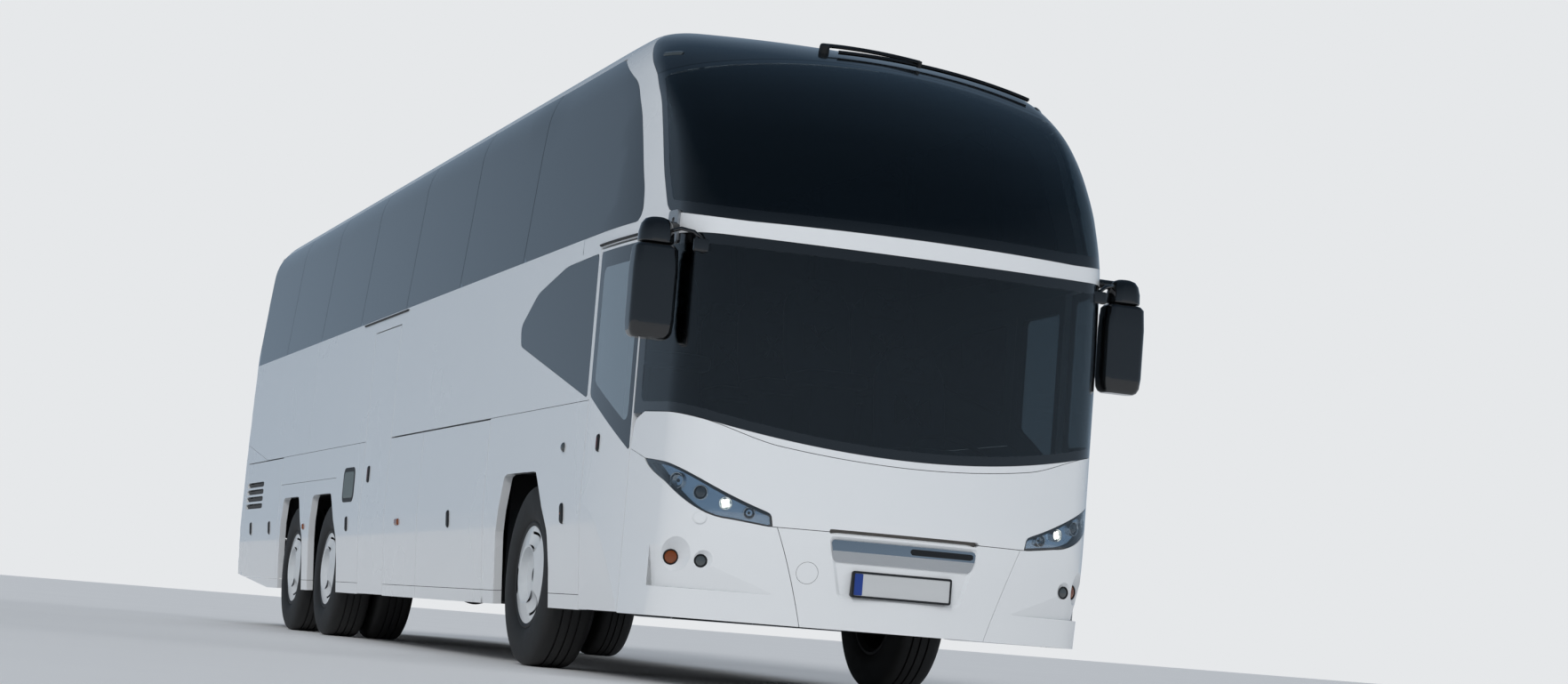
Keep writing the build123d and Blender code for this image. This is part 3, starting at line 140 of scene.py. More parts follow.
@dataclass(frozen=True)
class Finish:
    """One real material and how its surface was made.

    Attributes:
        title: Name of the material and its making.
        colour: sRGB code of the main colour.
        shade: sRGB code that the colour drifts towards in patches.
        patch: Size of the patches in metres.
        roughness: Middle value of the micro-roughness.
        spread: How far the roughness wanders to each side.
        metallic: One for bare metal.
        coat: Weight of a clear coat.
        bump: Height of the surface texture in metres.
        grain: Size of the bump's grain in metres.
        ior: Index of refraction where it isn't the usual 1.5.
        transmission: Share of light let through.
        sheen: Weight of cloth sheen.
        glow: Strength of emission in the main colour.
    """

    title: str
    colour: str
    shade: str
    patch: float = 0.6
    roughness: float = 0.4
    spread: float = 0.05
    metallic: float = 0.0
    coat: float = 0.0
    bump: float = 0.0
    grain: float = 0.002
    ior: float = 1.5
    transmission: float = 0.0
    sheen: float = 0.0
    glow: float = 0.0

    def material(self) -> bpy.types.Material:
        """Build the material once and hand out the same one after that.

        Returns:
            The node material of this finish.
        """
        known = bpy.data.materials.get(self.title)
        return known if known is not None else self.fresh()

    def fresh(self) -> bpy.types.Material:
        """Build the material: drifting colour and roughness, and a fine grain where the finish has one."""
        made = bpy.data.materials.new(self.title)
        made.use_nodes = True
        tree = made.node_tree
        tree.nodes.clear()
        place = add_node(tree, "ShaderNodeTexCoord").outputs["Object"]
        drift = add_node(tree, "ShaderNodeTexNoise",
                         {"Scale": 1.0 / self.patch, **DRIFT}, {"Vector": place})
        mix = add_node(tree, "ShaderNodeMix", {"data_type": "RGBA"}, {"Factor": drift.outputs["Fac"]})
        mix.inputs[MIX_A].default_value = linear(self.colour)
        mix.inputs[MIX_B].default_value = linear(self.shade)
        rough = add_node(tree, "ShaderNodeMapRange", {"To Min": max(self.roughness - self.spread, 0.0),
                                                      "To Max": min(self.roughness + self.spread, 1.0)},
                         {"Value": drift.outputs["Fac"]})
        shader = add_node(tree, "ShaderNodeBsdfPrincipled",
                          {"Metallic": self.metallic, "IOR": self.ior, "Coat Weight": self.coat,
                           "Coat Roughness": LACQUER_ROUGHNESS, "Transmission Weight": self.transmission,
                           "Sheen Weight": self.sheen, "Emission Strength": self.glow},
                          {"Base Color": mix.outputs[MIXED], "Roughness": rough.outputs["Result"]})
        if self.glow > 0:
            shader.inputs["Emission Color"].default_value = linear(self.colour)
        if self.bump > 0:
            fine = add_node(tree, "ShaderNodeTexNoise", {"Scale": 1.0 / self.grain, "Detail": 2.0},
                            {"Vector": place})
            relief = add_node(tree, "ShaderNodeBump", {"Strength": 1.0, "Distance": self.bump},
                              {"Height": fine.outputs["Fac"]})
            tree.links.new(relief.outputs["Normal"], shader.inputs["Normal"])
        add_node(tree, "ShaderNodeOutputMaterial", links={"Surface": shader.outputs["BSDF"]})
        return made


@dataclass(frozen=True)
class WovenCloth(Finish):
    """Cloth with crossed threads, drawn by two wave textures at the real thread pitch."""

    pitch: float = 0.004

    def fresh(self) -> bpy.types.Material:
        """Build the cloth with its weave as bump."""
        made = Finish.fresh(self)
        tree = made.node_tree
        shader = next(n for n in tree.nodes if n.type == "BSDF_PRINCIPLED")
        place = next(n for n in tree.nodes if n.type == "TEX_COORD").outputs["Object"]
        settings = {"Scale": WAVE_PERIOD / self.pitch, "Distortion": THREAD_BEND}
        waves = [add_node(tree, "ShaderNodeTexWave", {"bands_direction": way, **settings}, {"Vector": place})
                 for way in "XZ"]
        weave = add_node(tree, "ShaderNodeMath", {"operation": "MAXIMUM"},
                         {0: waves[0].outputs["Fac"], 1: waves[1].outputs["Fac"]})
        relief = add_node(tree, "ShaderNodeBump", THREAD_BUMP, {"Height": weave.outputs[0]})
        tree.links.new(relief.outputs["Normal"], shader.inputs["Normal"])
        return made


# White enamel sprayed on panels under clear lacquer: bright, with sharp reflections and hardly any texture
ENAMEL = Finish("sprayed white enamel under lacquer", "E9EBEC", "E4E6E8", 1.4, 0.28, 0.03, coat=0.9,
                bump=0.00002, grain=0.004)
# The same enamel on pressed steel wheels: a little duller from road film
WHEEL_ENAMEL = Finish("sprayed enamel on pressed steel", "DCDFE1", "C3C7CA", 0.12, 0.34, 0.08, coat=0.4,
                      bump=0.00005, grain=0.004)
# Laminated windscreen: nearly clear, faint grey tint, mirror-smooth, so that it shows the seats and the sky
SCREEN_GLASS = Finish("laminated float glass with grey tint", "8E979A", "8A9396", 2.0, 0.0, 0.0,
                      transmission=1.0, ior=1.52)
# Side panes: dark body-tinted glass with a printed edge, reflects more than it shows
DARK_GLASS = Finish("body-tinted float glass", "161B20", "12171B", 2.0, 0.02, 0.01, transmission=0.35,
                    ior=1.52, coat=0.6)
# Ceramic print round the panes: deep black, gloss from the glass over it
FRIT = Finish("black ceramic print under glass", "08090A", "0B0C0D", 0.8, 0.06, 0.02, coat=1.0)
# Black lacquered plastic of the fascia and the mirrors
GLOSS_BLACK = Finish("lacquered black plastic", "0A0B0C", "0E0F10", 0.6, 0.16, 0.04, coat=0.8)
# Grained black plastic: bumper grille, step edges, wiper housing
MATT_BLACK = Finish("grained black plastic", "17181A", "1D1E20", 0.2, 0.55, 0.08, bump=0.0001, grain=0.0012)
# Moulded tyre rubber with a light road film
TYRE = Finish("moulded tyre rubber with road dust", "1C1D1E", "2B2A29", 0.09, 0.72, 0.1, bump=0.0003,
              grain=0.003)
# Cast and painted axle steel, dusty below
CHASSIS = Finish("black painted cast steel", "1B1C1E", "2A2927", 0.25, 0.6, 0.12, bump=0.0004, grain=0.006)
# Electroplated trim bar
CHROME = Finish("electroplated bright trim", "C9CCCF", "C2C5C8", 0.3, 0.07, 0.03, metallic=1.0)
# Vacuum-coated reflector behind the lamp lens, with a cold blue cast
REFLECTOR = Finish("vacuum-coated reflector", "B9C9D8", "9DB0C2", 0.08, 0.12, 0.05, metallic=1.0)
# Clear polycarbonate lens
LENS = Finish("clear moulded polycarbonate", "F2F6F8", "EDF2F5", 0.5, 0.0, 0.0, transmission=1.0, ior=1.58)
# Door glass coloured pale blue-grey as a painted reflection of the pale sky
DOOR_PANE_PAINTED_SKY = Finish("tempered float glass, pale tint", "9FB0BC", "9AABB7", 2.0, 0.02, 0.01, transmission=0.5,
                   ior=1.52, coat=0.6)
# Clear plastic over a dark lamp
SMOKED_LENS = Finish("clear lens over a dark lamp", "4A4F50", "3C4142", 0.03, 0.10, 0.04, coat=0.9)
# Faceted cup of a lamp unit, bright with a dull base
CLEAR_FACETS = Finish("faceted plated cup", "A8ADB1", "6E7477", 0.02, 0.10, 0.04, metallic=1.0)
# Thick clear projector glass over a black tube
PROJECTOR = Finish("ground projector glass over black", "15181A", "0E1011", 0.05, 0.04, 0.01, ior=1.52,
                   coat=1.0)
# Mirror glass with its bright coating
MIRROR_GLASS = Finish("silvered mirror glass", "DDE1E3", "D8DCDF", 0.5, 0.01, 0.0, metallic=1.0)
# Grey-brown grained plastic down in the slot
SLOT_GREY = Finish("grained grey-brown plastic", "6E6963", "625D58", 0.2, 0.6, 0.08, bump=0.0001,
                   grain=0.0015)
# Painted wiper steel, satin
WIPER_BLACK = Finish("satin painted wiper steel", "0D0E0F", "121314", 0.2, 0.38, 0.06, bump=0.00003,
                     grain=0.001)
# Clear orange and red lenses
AMBER = Finish("moulded amber lens", "A9540E", "93460A", 0.05, 0.12, 0.04, transmission=0.45, coat=0.6)
RED_LENS = Finish("moulded red lens", "7E0B0B", "680808", 0.1, 0.12, 0.04, transmission=0.35, coat=0.6)
# Lit bulb glass of the inner lamp
LIT = Finish("frosted lit bulb", "FFFDF4", "FFFBEA", 0.05, 0.4, 0.0, glow=1.6)
# Silver bracket of the mirror
SILVER = Finish("satin painted aluminium", "A9ADB1", "9B9FA3", 0.1, 0.3, 0.06, metallic=0.6, coat=0.3)
# Blank reflecting plate with a plain end field
PLATE = Finish("retro-reflecting plate sheet", "C9CBCC", "C3C5C6", 0.2, 0.35, 0.05, bump=0.00003, grain=0.001)
PLATE_END = Finish("blue reflecting plate end", "1F3F8F", "1C3A86", 0.2, 0.35, 0.05)
# Seat cloth, dark blue-grey with a flat weave
CLOTH = WovenCloth("flat woven seat cloth", "2B3547", "232B3A", 0.3, 0.85, 0.05, sheen=0.4, pitch=0.004)
# Leather-like head rest cover
COVER = Finish("embossed head rest cover", "3A3D42", "33363B", 0.2, 0.6, 0.06, bump=0.0002, grain=0.002)
# Floor covering, ceiling lining and walls inside
LINING = Finish("flocked wall lining", "6F7376", "66696C", 0.5, 0.85, 0.05, bump=0.0002, grain=0.002)
CARPET = Finish("studded floor covering", "33363A", "2C2F33", 0.4, 0.7, 0.08, bump=0.0003, grain=0.004)
# Tank flap, grey-green
TANK_GREY = Finish("primed grey-green flap", "59635F", "525C58", 0.2, 0.45, 0.06, coat=0.2)
# Pale studio floor that meets the background without an edge
FLOOR = Finish("pale rolled studio floor", "ECECEC", "E6E6E7", 3.0, 0.75, 0.08)


def unit(v: Array) -> Array:
    """Vectors scaled to length one."""
    return v / np.maximum(np.linalg.norm(v, axis=-1, keepdims=True), ZERO)


def across_face(points: Array, face: Sequence[int]) -> Array:
    """Direction square to a face, as long as the face is large; a four-sided face may be bent."""
    a, b, c = points[face[0]], points[face[1]], points[face[2]]
    across = np.cross(b - a, c - a)
    return across + np.cross(c - a, points[face[3]] - a) if len(face) > 3 else across


class Curve1D:
    """Smooth curve through table values that never overshoots them."""

    def __init__(self, xs: Sequence[float], ys: Sequence[float]) -> None:
        """Store the knots and work out their slopes.

        Args:
            xs: Rising places of the knots.
            ys: Values at the knots.
        """
        self.xs, self.ys = np.asarray(xs, float), np.asarray(ys, float)
        steps, rises = np.diff(self.xs), np.diff(self.ys)
        secants = rises / steps
        slopes = np.zeros_like(self.ys)
        inner = secants[:-1] * secants[1:] > 0
        w1, w2 = 2 * steps[1:] + steps[:-1], steps[1:] + 2 * steps[:-1]
        safe = np.where(inner, secants[:-1], 1.0), np.where(inner, secants[1:], 1.0)
        slopes[1:-1] = np.where(inner, (w1 + w2) / (w1 / safe[0] + w2 / safe[1]), 0.0)
        slopes[0], slopes[-1] = secants[0], secants[-1]
        self.slopes = slopes

    def __call__(self, x: Array) -> Array:
        """Value of the curve at each place, held constant past the ends."""
        x = np.clip(x, self.xs[0], self.xs[-1])
        i = np.clip(np.searchsorted(self.xs, x) - 1, 0, len(self.xs) - 2)
        h = self.xs[i + 1] - self.xs[i]
        t = (x - self.xs[i]) / h
        a, b = self.ys[i], self.ys[i + 1]
        ma, mb = self.slopes[i] * h, self.slopes[i + 1] * h
        return ((2 * t**3 - 3 * t**2 + 1) * a + (t**3 - 2 * t**2 + t) * ma
                + (3 * t**2 - 2 * t**3) * b + (t**3 - t**2) * mb)


class CoachForm:
    """Closed outer form of the body as one distance-like function, negative inside."""

    # Radii of the front end's plan: nose, corner, taper
    NOSE_R, CORNER_R, TAPER_R = 2.55, 0.30, 7.0
    # Height, setback of the nose, half width, start of the taper
    SECTIONS = (
        (0.320, 0.070, 1.276, -4.915), (0.900, 0.004, 1.276, -4.915), (1.700, 0.000, 1.276, -4.915),
        (2.300, 0.025, 1.276, -4.915), (2.600, 0.115, 1.260, -4.915), (2.850, 0.262, 1.235, -4.915),
        (3.080, 0.478, 1.213, -4.915), (3.280, 0.745, 1.185, -4.700), (3.450, 1.080, 1.115, -4.400),
        (3.580, 1.500, 1.015, -4.000), (3.680, 2.080, 0.885, -3.500), (3.770, 3.050, 0.715, -2.860),
    )
    # Cross-section: how far the sides draw in below, how they lean above, radii of the roof's edge and crown
    TUCK, TUCK_Z = 0.040, 0.900
    SHOULDER_Z, EAVE_Z, EAVE_HALF = 2.400, 3.400, 1.182
    EDGE_R, CROWN_R = 0.420, 2.900
    # Rear end: rake above a height, radii of its corners and top, how far it stands past the cross-section
    RAKE_Z, RAKE, REAR_CORNER_R, REAR_TOP_R = 1.500, 0.260, 0.220, 0.420
    REAR_TOP_Z, REAR_PAST, REAR_FROM_Y = ROOF_Z + 0.02, 0.005, 3.0
    # Rounding between the front form and the roof: width, start and run in height; run of the fade at JOIN_Y
    EASE, EASE_Z, EASE_RUN, FADE_RUN = 0.03, 3.0, 0.3, 0.9
    # Steps for slopes and directions, reach of a ray and the halvings that find its end
    SLOPE_STEP, NORMAL_STEP, REACH, HALVINGS = 0.01, 0.003, 4.5, 26

    def __init__(self) -> None:
        """Prepare the section curves and the roof edge arc."""
        table = np.array(self.SECTIONS)
        self.setback, self.half, self.taper = (Curve1D(table[:, 0], table[:, k]) for k in (1, 2, 3))
        self.lean = (HALF_WIDTH - self.EAVE_HALF) / (self.EAVE_Z - self.SHOULDER_Z)
        self.slope = math.hypot(1.0, self.lean)
        self.crown_z = ROOF_Z - self.CROWN_R
        reach = self.CROWN_R - self.EDGE_R
        foot = HALF_WIDTH - self.EDGE_R * self.slope + self.lean * (self.SHOULDER_Z - self.crown_z)
        b = self.lean * foot
        a = 1 + self.lean**2
        height = (b + math.sqrt(b * b - a * (foot * foot - reach * reach))) / a
        self.edge_c = (foot - self.lean * height, self.crown_z + height)

    def plan_distance(self, p: Array) -> Array:
        """Distance to the front end's plan curve at each point's height, across the plan."""
        x, y, z = np.abs(p[:, 0]), p[:, 1], p[:, 2]
        half, taper_y = self.half(z), self.taper(z)
        nose_y = FRONT_Y + self.setback(z) + self.NOSE_R
        tx, ra, rb = half - self.TAPER_R, self.NOSE_R - self.CORNER_R, self.TAPER_R - self.CORNER_R
        gap = np.hypot(tx, taper_y - nose_y)
        along = (ra**2 - rb**2 + gap**2) / (2 * gap)
        across = np.sqrt(np.maximum(ra**2 - along**2, 0.0))
        ux, uy = tx / gap, (taper_y - nose_y) / gap
        cx, cy = ux * along - uy * across, nose_y + uy * along + ux * across
        ox, oy = ux * along + uy * across, nose_y + uy * along - ux * across
        better = (cx - cy) > (ox - oy)
        cx, cy = np.where(better, cx, ox), np.where(better, cy, oy)
        nose = np.hypot(x, y - nose_y) - self.NOSE_R
        corner = np.hypot(x - cx, y - cy) - self.CORNER_R
        taper = np.hypot(x - tx, y - taper_y) - self.TAPER_R
        on_nose = x * (cy - nose_y) - (y - nose_y) * cx > 0
        on_corner = (x - tx) * (cy - taper_y) - (y - taper_y) * (cx - tx) > 0
        found = np.where(on_nose, nose, np.where(on_corner, corner, taper))
        return np.where(y > taper_y, x - half, found)

    def cross_distance(self, p: Array) -> Array:
        """Distance to the body's cross-section, the same at every station."""
        x, z = np.abs(p[:, 0]), p[:, 2]
        tuck = HALF_WIDTH - self.TUCK * np.clip((self.TUCK_Z - z) / (self.TUCK_Z - SKIRT_Z), 0, 2)
        side = x - np.where(z < self.TUCK_Z, tuck, HALF_WIDTH)
        lean = (x - HALF_WIDTH + self.lean * (z - self.SHOULDER_Z)) / self.slope
        wall = np.where(z > self.SHOULDER_Z, lean, side)
        dx, dz = x - self.edge_c[0], z - self.edge_c[1]
        arc = np.hypot(dx, dz) - self.EDGE_R
        crown = np.hypot(x, z - self.crown_z) - self.CROWN_R
        below = dx * self.lean - dz > 0
        above = self.edge_c[0] * (z - self.crown_z) - (self.edge_c[1] - self.crown_z) * x > 0
        return np.where(below, wall, np.where(above, crown, arc))

    def rear_distance(self, p: Array) -> Array:
        """Distance to the raked and rounded rear end."""
        x, y, z = np.abs(p[:, 0]), p[:, 1], p[:, 2]
        back = REAR_Y - self.RAKE * np.clip((z - self.RAKE_Z) / (self.REAR_TOP_Z - self.RAKE_Z), 0, 2)
        flat, top = y - back, z - self.REAR_TOP_Z
        r = self.REAR_TOP_R
        roof = np.hypot(np.maximum(flat + r, 0), np.maximum(top + r, 0)) - r
        r = self.REAR_CORNER_R
        dx, dy = np.maximum(x - HALF_WIDTH - self.REAR_PAST + r, 0), np.maximum(flat + r, 0)
        corner = np.hypot(dx, dy) - r
        return np.maximum(np.where(flat + self.REAR_TOP_R > 0, roof, flat), corner)

    def distance(self, p: Array) -> Array:
        """Distance-like value of the whole form at each point.

        The front end's corner with the roof is rounded, and the front form fades into the cross-section, so
        that no step is left where the two meet.
        """
        cross = self.cross_distance(p)
        nose = np.full(len(p), -FAR)
        ahead = p[:, 1] < JOIN_Y
        if ahead.any():
            q = p[ahead]
            step = np.array([0.0, 0.0, self.SLOPE_STEP])
            steep = (self.plan_distance(q + step) - self.plan_distance(q - step)) / (2 * self.SLOPE_STEP)
            nose[ahead] = self.plan_distance(q) / np.sqrt(1 + steep**2)
        ease = self.EASE * np.clip((p[:, 2] - self.EASE_Z) / self.EASE_RUN, 0, 1) + TINY
        h = np.clip(0.5 + 0.5 * (nose - cross) / ease, 0, 1)
        front = cross * (1 - h) + nose * h + ease * h * (1 - h)
        fade = np.clip((JOIN_Y - p[:, 1]) / self.FADE_RUN, 0, 1)
        front = cross + (front - cross) * fade * fade * (3 - 2 * fade)
        return np.maximum(front, np.where(p[:, 1] > self.REAR_FROM_Y, self.rear_distance(p), -FAR))

    def meet(self, origin: Array, way: Array) -> Array:
        """Point of the form on each ray.

        Args:
            origin: Ray starts inside the form.
            way: Ray directions of length one.

        Returns:
            One surface point a ray.
        """
        low, high = np.zeros(len(origin)), np.full(len(origin), self.REACH)
        for _ in range(self.HALVINGS):
            mid = (low + high) / 2
            inside = self.distance(origin + way * mid[:, None]) < 0
            low, high = np.where(inside, mid, low), np.where(inside, high, mid)
        return origin + way * ((low + high) / 2)[:, None]

    def normal(self, p: Array) -> Array:
        """Outward direction of the form at points on it."""
        moves = np.eye(3) * self.NORMAL_STEP
        return unit(np.stack([self.distance(p + move) - self.distance(p - move) for move in moves], axis=1))


FORM = CoachForm()


def front_point(x: float, z: float, off: float = 0.0) -> tuple[Array, Array]:
    """Point of the front skin at a place across and a height, moved off it, and its outward direction."""
    point = FORM.meet(np.array([[x, EYE_Y, z]]), np.array([[0.0, -1.0, 0.0]]))
    normal = FORM.normal(point)
    return point[0] + normal[0] * off, normal[0]


def arc_through(start: Sequence[float], middle: Sequence[float], end: Sequence[float],
                steps: int = 14) -> Array:
    """Points along the circle arc from start over middle to end."""
    a, m, b = (np.array(v, float) for v in (start, middle, end))
    centre = np.linalg.solve(np.array([m - a, b - a]), 0.5 * np.array([m @ m - a @ a, b @ b - a @ a]))
    first, mid, last = (math.atan2(*(v - centre)[::-1]) for v in (a, m, b))
    sweep, part = (last - first) % (2 * math.pi), (mid - first) % (2 * math.pi)
    if part > sweep:
        sweep -= 2 * math.pi
    turn = np.linspace(first, first + sweep, steps)
    radius = np.linalg.norm(a - centre)
    return centre + radius * np.stack([np.cos(turn), np.sin(turn)], axis=1)


def box(u0: float, v0: float, u1: float, v1: float, radius: float) -> Outline:
    """Outline of an upright rectangle with one corner radius."""
    return (u0, v0, radius), (u1, v0, radius), (u1, v1, radius), (u0, v1, radius)


def dome(start: float, rise: float, radius: float, count: int, end: float = math.pi / 2) -> Profile:
    """Profile (out, radius) of a domed face, from its rim up to the axis or to an angle short of it."""
    return [(start + rise * math.sin(t), radius * math.cos(t)) for t in np.linspace(0, end, count)]


def rounded(points: Outline, per_corner: int = 7) -> Array:
    """Closed polyline of an outline whose corners are (u, v, radius)."""
    count, out = len(points), []
    for i, (u, v, r) in enumerate(points):
        here = np.array([u, v])
        if r <= 0:
            out.append(here)
            continue
        a = unit(np.array(points[i - 1][:2]) - here)
        b = unit(np.array(points[(i + 1) % count][:2]) - here)
        half = math.acos(max(-1.0, min(1.0, float(a @ b)))) / 2
        cut, mid = r / math.tan(half), unit(a + b)
        centre = here + mid * r / math.sin(half)
        start, end = here + a * cut - centre, here + b * cut - centre
        turn = math.atan2(start[0] * end[1] - start[1] * end[0], float(start @ end))
        for t in np.linspace(0, turn, per_corner):
            c, s = math.cos(t), math.sin(t)
            out.append(centre + np.array([c * start[0] - s * start[1], s * start[0] + c * start[1]]))
    return np.array(out)


def outline_distance(line: Array, u: Array, v: Array) -> Array:
    """Signed distance to a closed polyline, positive inside."""
    best = np.full(len(u), np.inf)
    inside = np.zeros(len(u), bool)
    for a, b in zip(line, np.roll(line, -1, axis=0)):
        d = b - a
        t = np.clip(((u - a[0]) * d[0] + (v - a[1]) * d[1]) / max(d @ d, ZERO), 0, 1)
        best = np.minimum(best, np.hypot(u - a[0] - t * d[0], v - a[1] - t * d[1]))
        cross = (a[1] > v) != (b[1] > v)
        if abs(d[1]) > ZERO:
            inside ^= cross & (u < a[0] + (v - a[1]) * d[0] / d[1])
    return np.where(inside, best, -best)


def in_side(points: Outline, margin: float = 0.0) -> Zone:
    """Zone inside an outline drawn in side elevation as (y, z, radius), drawn out by a margin."""
    line = rounded(points)
    return lambda p: outline_distance(line, p[:, 1], p[:, 2]) + margin


def in_line(line: Array, margin: float = 0.0, mirror: bool = True) -> Zone:
    """Zone inside a closed line of front elevation points, drawn out by a margin."""
    return lambda p: outline_distance(line, np.abs(p[:, 0]) if mirror else p[:, 0], p[:, 2]) + margin


def in_front(points: Outline, margin: float = 0.0, mirror: bool = True) -> Zone:
    """Zone inside an outline drawn in front elevation as (x, z, radius), drawn out by a margin."""
    return in_line(rounded(points), margin, mirror)


def in_circle(x: float, z: float, radius: float) -> Zone:
    """Zone inside a circle of the front elevation."""
    return lambda p: radius - np.hypot(p[:, 0] - x, p[:, 2] - z)


def outside(zone: Zone, margin: float = 0.0) -> Zone:
    """Everything outside a zone, kept a margin away from it."""
    return lambda p: -zone(p) - margin


def beyond(axis: int, value: float, sign: float = 1.0) -> Zone:
    """Everything past a plane across one axis."""
    return lambda p: sign * (p[:, axis] - value)


def over_arc(mid_z: float, end_z: float, margin: float = 0.0, end_x: float = 1.4) -> Zone:
    """Everything above a shallow arc in front elevation."""
    rise = end_z - mid_z
    radius = (end_x**2 + rise**2) / (2 * rise)

    def value(p: Array) -> Array:
        drop = np.sign(radius) * np.sqrt(np.maximum(radius**2 - p[:, 0]**2, 0.0))
        return p[:, 2] - (mid_z + radius - drop) - margin
    return value


@dataclass
class Patch:
    """Polygons on the body form, with the outward direction at each corner point."""

    points: Array
    normals: Array
    faces: list[list[int]]

    @classmethod
    def from_rays(cls, origin: Array, way: Array, rows: int, columns: int) -> "Patch":
        """Grid of four-sided faces where rays meet the form."""
        points = FORM.meet(origin, way)
        faces = [[r * columns + c, r * columns + c + 1, (r + 1) * columns + c + 1, (r + 1) * columns + c]
                 for r in range(rows - 1) for c in range(columns - 1)]
        return cls(points, FORM.normal(points), faces)

    @classmethod
    def cap(cls, azimuths: Array, heights: Array, station: float = EYE_Y, level: float = EYE_Z,
            way: float = -1.0) -> "Patch":
        """Grid round one end of the coach.

        Args:
            azimuths: Turning angles from straight ahead, in degrees.
            heights: Angles above the horizon, in degrees.
            station: Y of the point that the rays leave.
            level: Z of the point that the rays leave.
            way: -1 for the front end, 1 for the rear end.
        """
        az, el = np.meshgrid(np.radians(azimuths), np.radians(heights))
        ways = np.stack([np.sin(az) * np.cos(el), way * np.cos(az) * np.cos(el), np.sin(el)], axis=-1)
        ways = ways.reshape(-1, 3)
        start = np.tile((0.0, station, level), (len(ways), 1))
        return cls.from_rays(start, ways, len(heights), len(azimuths))

    @classmethod
    def around(cls, x: float, z: float, reach: float, step: float) -> "Patch":
        """Fine grid round one place of the front skin; reach and step are in metres."""
        ray = front_point(x, z)[0] - np.array([0.0, EYE_Y, EYE_Z])
        az, el = math.atan2(ray[0], -ray[1]), math.atan2(ray[2], math.hypot(*ray[:2]))
        az, el, scale = (math.degrees(v) for v in (az, el, 1.0 / float(np.linalg.norm(ray))))
        wide, tall, fine = reach * scale * 1.5, reach * scale * 1.1, step * scale
        return cls.cap(spaced(az - wide, az + wide, fine), spaced(el - tall, el + tall, fine))

    @classmethod
    def loft(cls, rings: Array) -> "Patch":
        """Closed rings joined one after the other, facing away from the rings' middles."""
        count, each = rings.shape[:2]
        faces = [[r * each + c, r * each + (c + 1) % each, (r + 1) * each + (c + 1) % each,
                  (r + 1) * each + c] for r in range(count - 1) for c in range(each)]
        points = rings.reshape(-1, 3)
        away = (rings - rings.mean(axis=1, keepdims=True)).reshape(-1, 3)
        return cls(points, unit(away), faces).moved(points)

    @classmethod
    def flank(cls, side: Side, ys: Array, zs: Array) -> "Patch":
        """Grid over one side, from stations and heights."""
        y, z = np.meshgrid(ys, zs)
        start = np.stack([np.zeros(y.size), y.ravel(), z.ravel()], axis=-1)
        return cls.from_rays(start, np.tile((float(side.value), 0.0, 0.0), (len(start), 1)), len(zs), len(ys))

    @classmethod
    def vault(cls, ys: Array, angles: Array) -> "Patch":
        """Grid over the roof, from stations and angles about the body's long axis."""
        y, angle = np.meshgrid(ys, np.radians(angles))
        start = np.stack([np.zeros(y.size), y.ravel(), np.full(y.size, EYE_Z)], axis=-1)
        ways = np.stack([np.cos(angle).ravel(), np.zeros(y.size), np.sin(angle).ravel()], axis=-1)
        return cls.from_rays(start, ways, len(angles), len(ys))

    def clip(self, *zones: Zone) -> "Patch":
        """Keep only what lies in every zone, cut along each zone's edge."""
        made = self
        for zone in zones:
            made = made._clip(zone(made.points))
        return made

    def _clip(self, value: Array) -> "Patch":
        """Keep the part where the value isn't negative."""
        points, normals = list(self.points), list(self.normals)
        inside = value >= 0
        cuts: dict[tuple[int, int], int] = {}

        def cut(a: int, b: int) -> int:
            key = (min(a, b), max(a, b))
            if key not in cuts:
                t = value[a] / (value[a] - value[b])
                points.append(self.points[a] * (1 - t) + self.points[b] * t)
                normals.append(unit(self.normals[a] * (1 - t) + self.normals[b] * t))
                cuts[key] = len(points) - 1
            return cuts[key]

        faces = []
        for face in self.faces:
            state = [inside[i] for i in face]
            if all(state):
                faces.append(face)
            elif any(state):
                made = []
                for k, i in enumerate(face):
                    j = face[(k + 1) % len(face)]
                    if inside[i]:
                        made.append(i)
                    if inside[i] != inside[j]:
                        made.append(cut(i, j))
                if len(made) >= 3:
                    faces.append(made)
        return Patch(np.array(points), np.array(normals), faces).packed()

    def packed(self) -> "Patch":
        """The same patch without points that no face uses."""
        used = sorted({i for face in self.faces for i in face})
        place = {old: new for new, old in enumerate(used)}
        faces = [[place[i] for i in face] for face in self.faces]
        if not used:
            return Patch(np.zeros((0, 3)), np.zeros((0, 3)), [])
        return Patch(self.points[used], self.normals[used], faces)

    def pressed(self, depth: Callable[[Array], Array]) -> "Patch":
        """Patch moved along its normals by a depth at each point."""
        return self.moved(self.points + self.normals * depth(self.points)[:, None])

    def moved(self, points: Array) -> "Patch":
        """The same faces over moved points, with the outward directions worked out again."""
        total = np.zeros_like(points)
        for face in self.faces:
            across = across_face(points, face)
            for i in face:
                total[i] += across
        turned = unit(total)
        flip = np.sign((turned * self.normals).sum(axis=1, keepdims=True))
        return Patch(points, turned * np.where(flip == 0, 1, flip), self.faces)

    def border(self) -> list[tuple[int, int, Array]]:
        """Edges that only one face has, each with the middle of that face."""
        seen: dict[tuple[int, int], tuple[int, int, int] | None] = {}
        for number, face in enumerate(self.faces):
            for k, i in enumerate(face):
                j = face[(k + 1) % len(face)]
                key = (min(i, j), max(i, j))
                seen[key] = None if key in seen else (i, j, number)
        return [(i, j, self.points[self.faces[n]].mean(axis=0)) for i, j, n in filter(None, seen.values())]


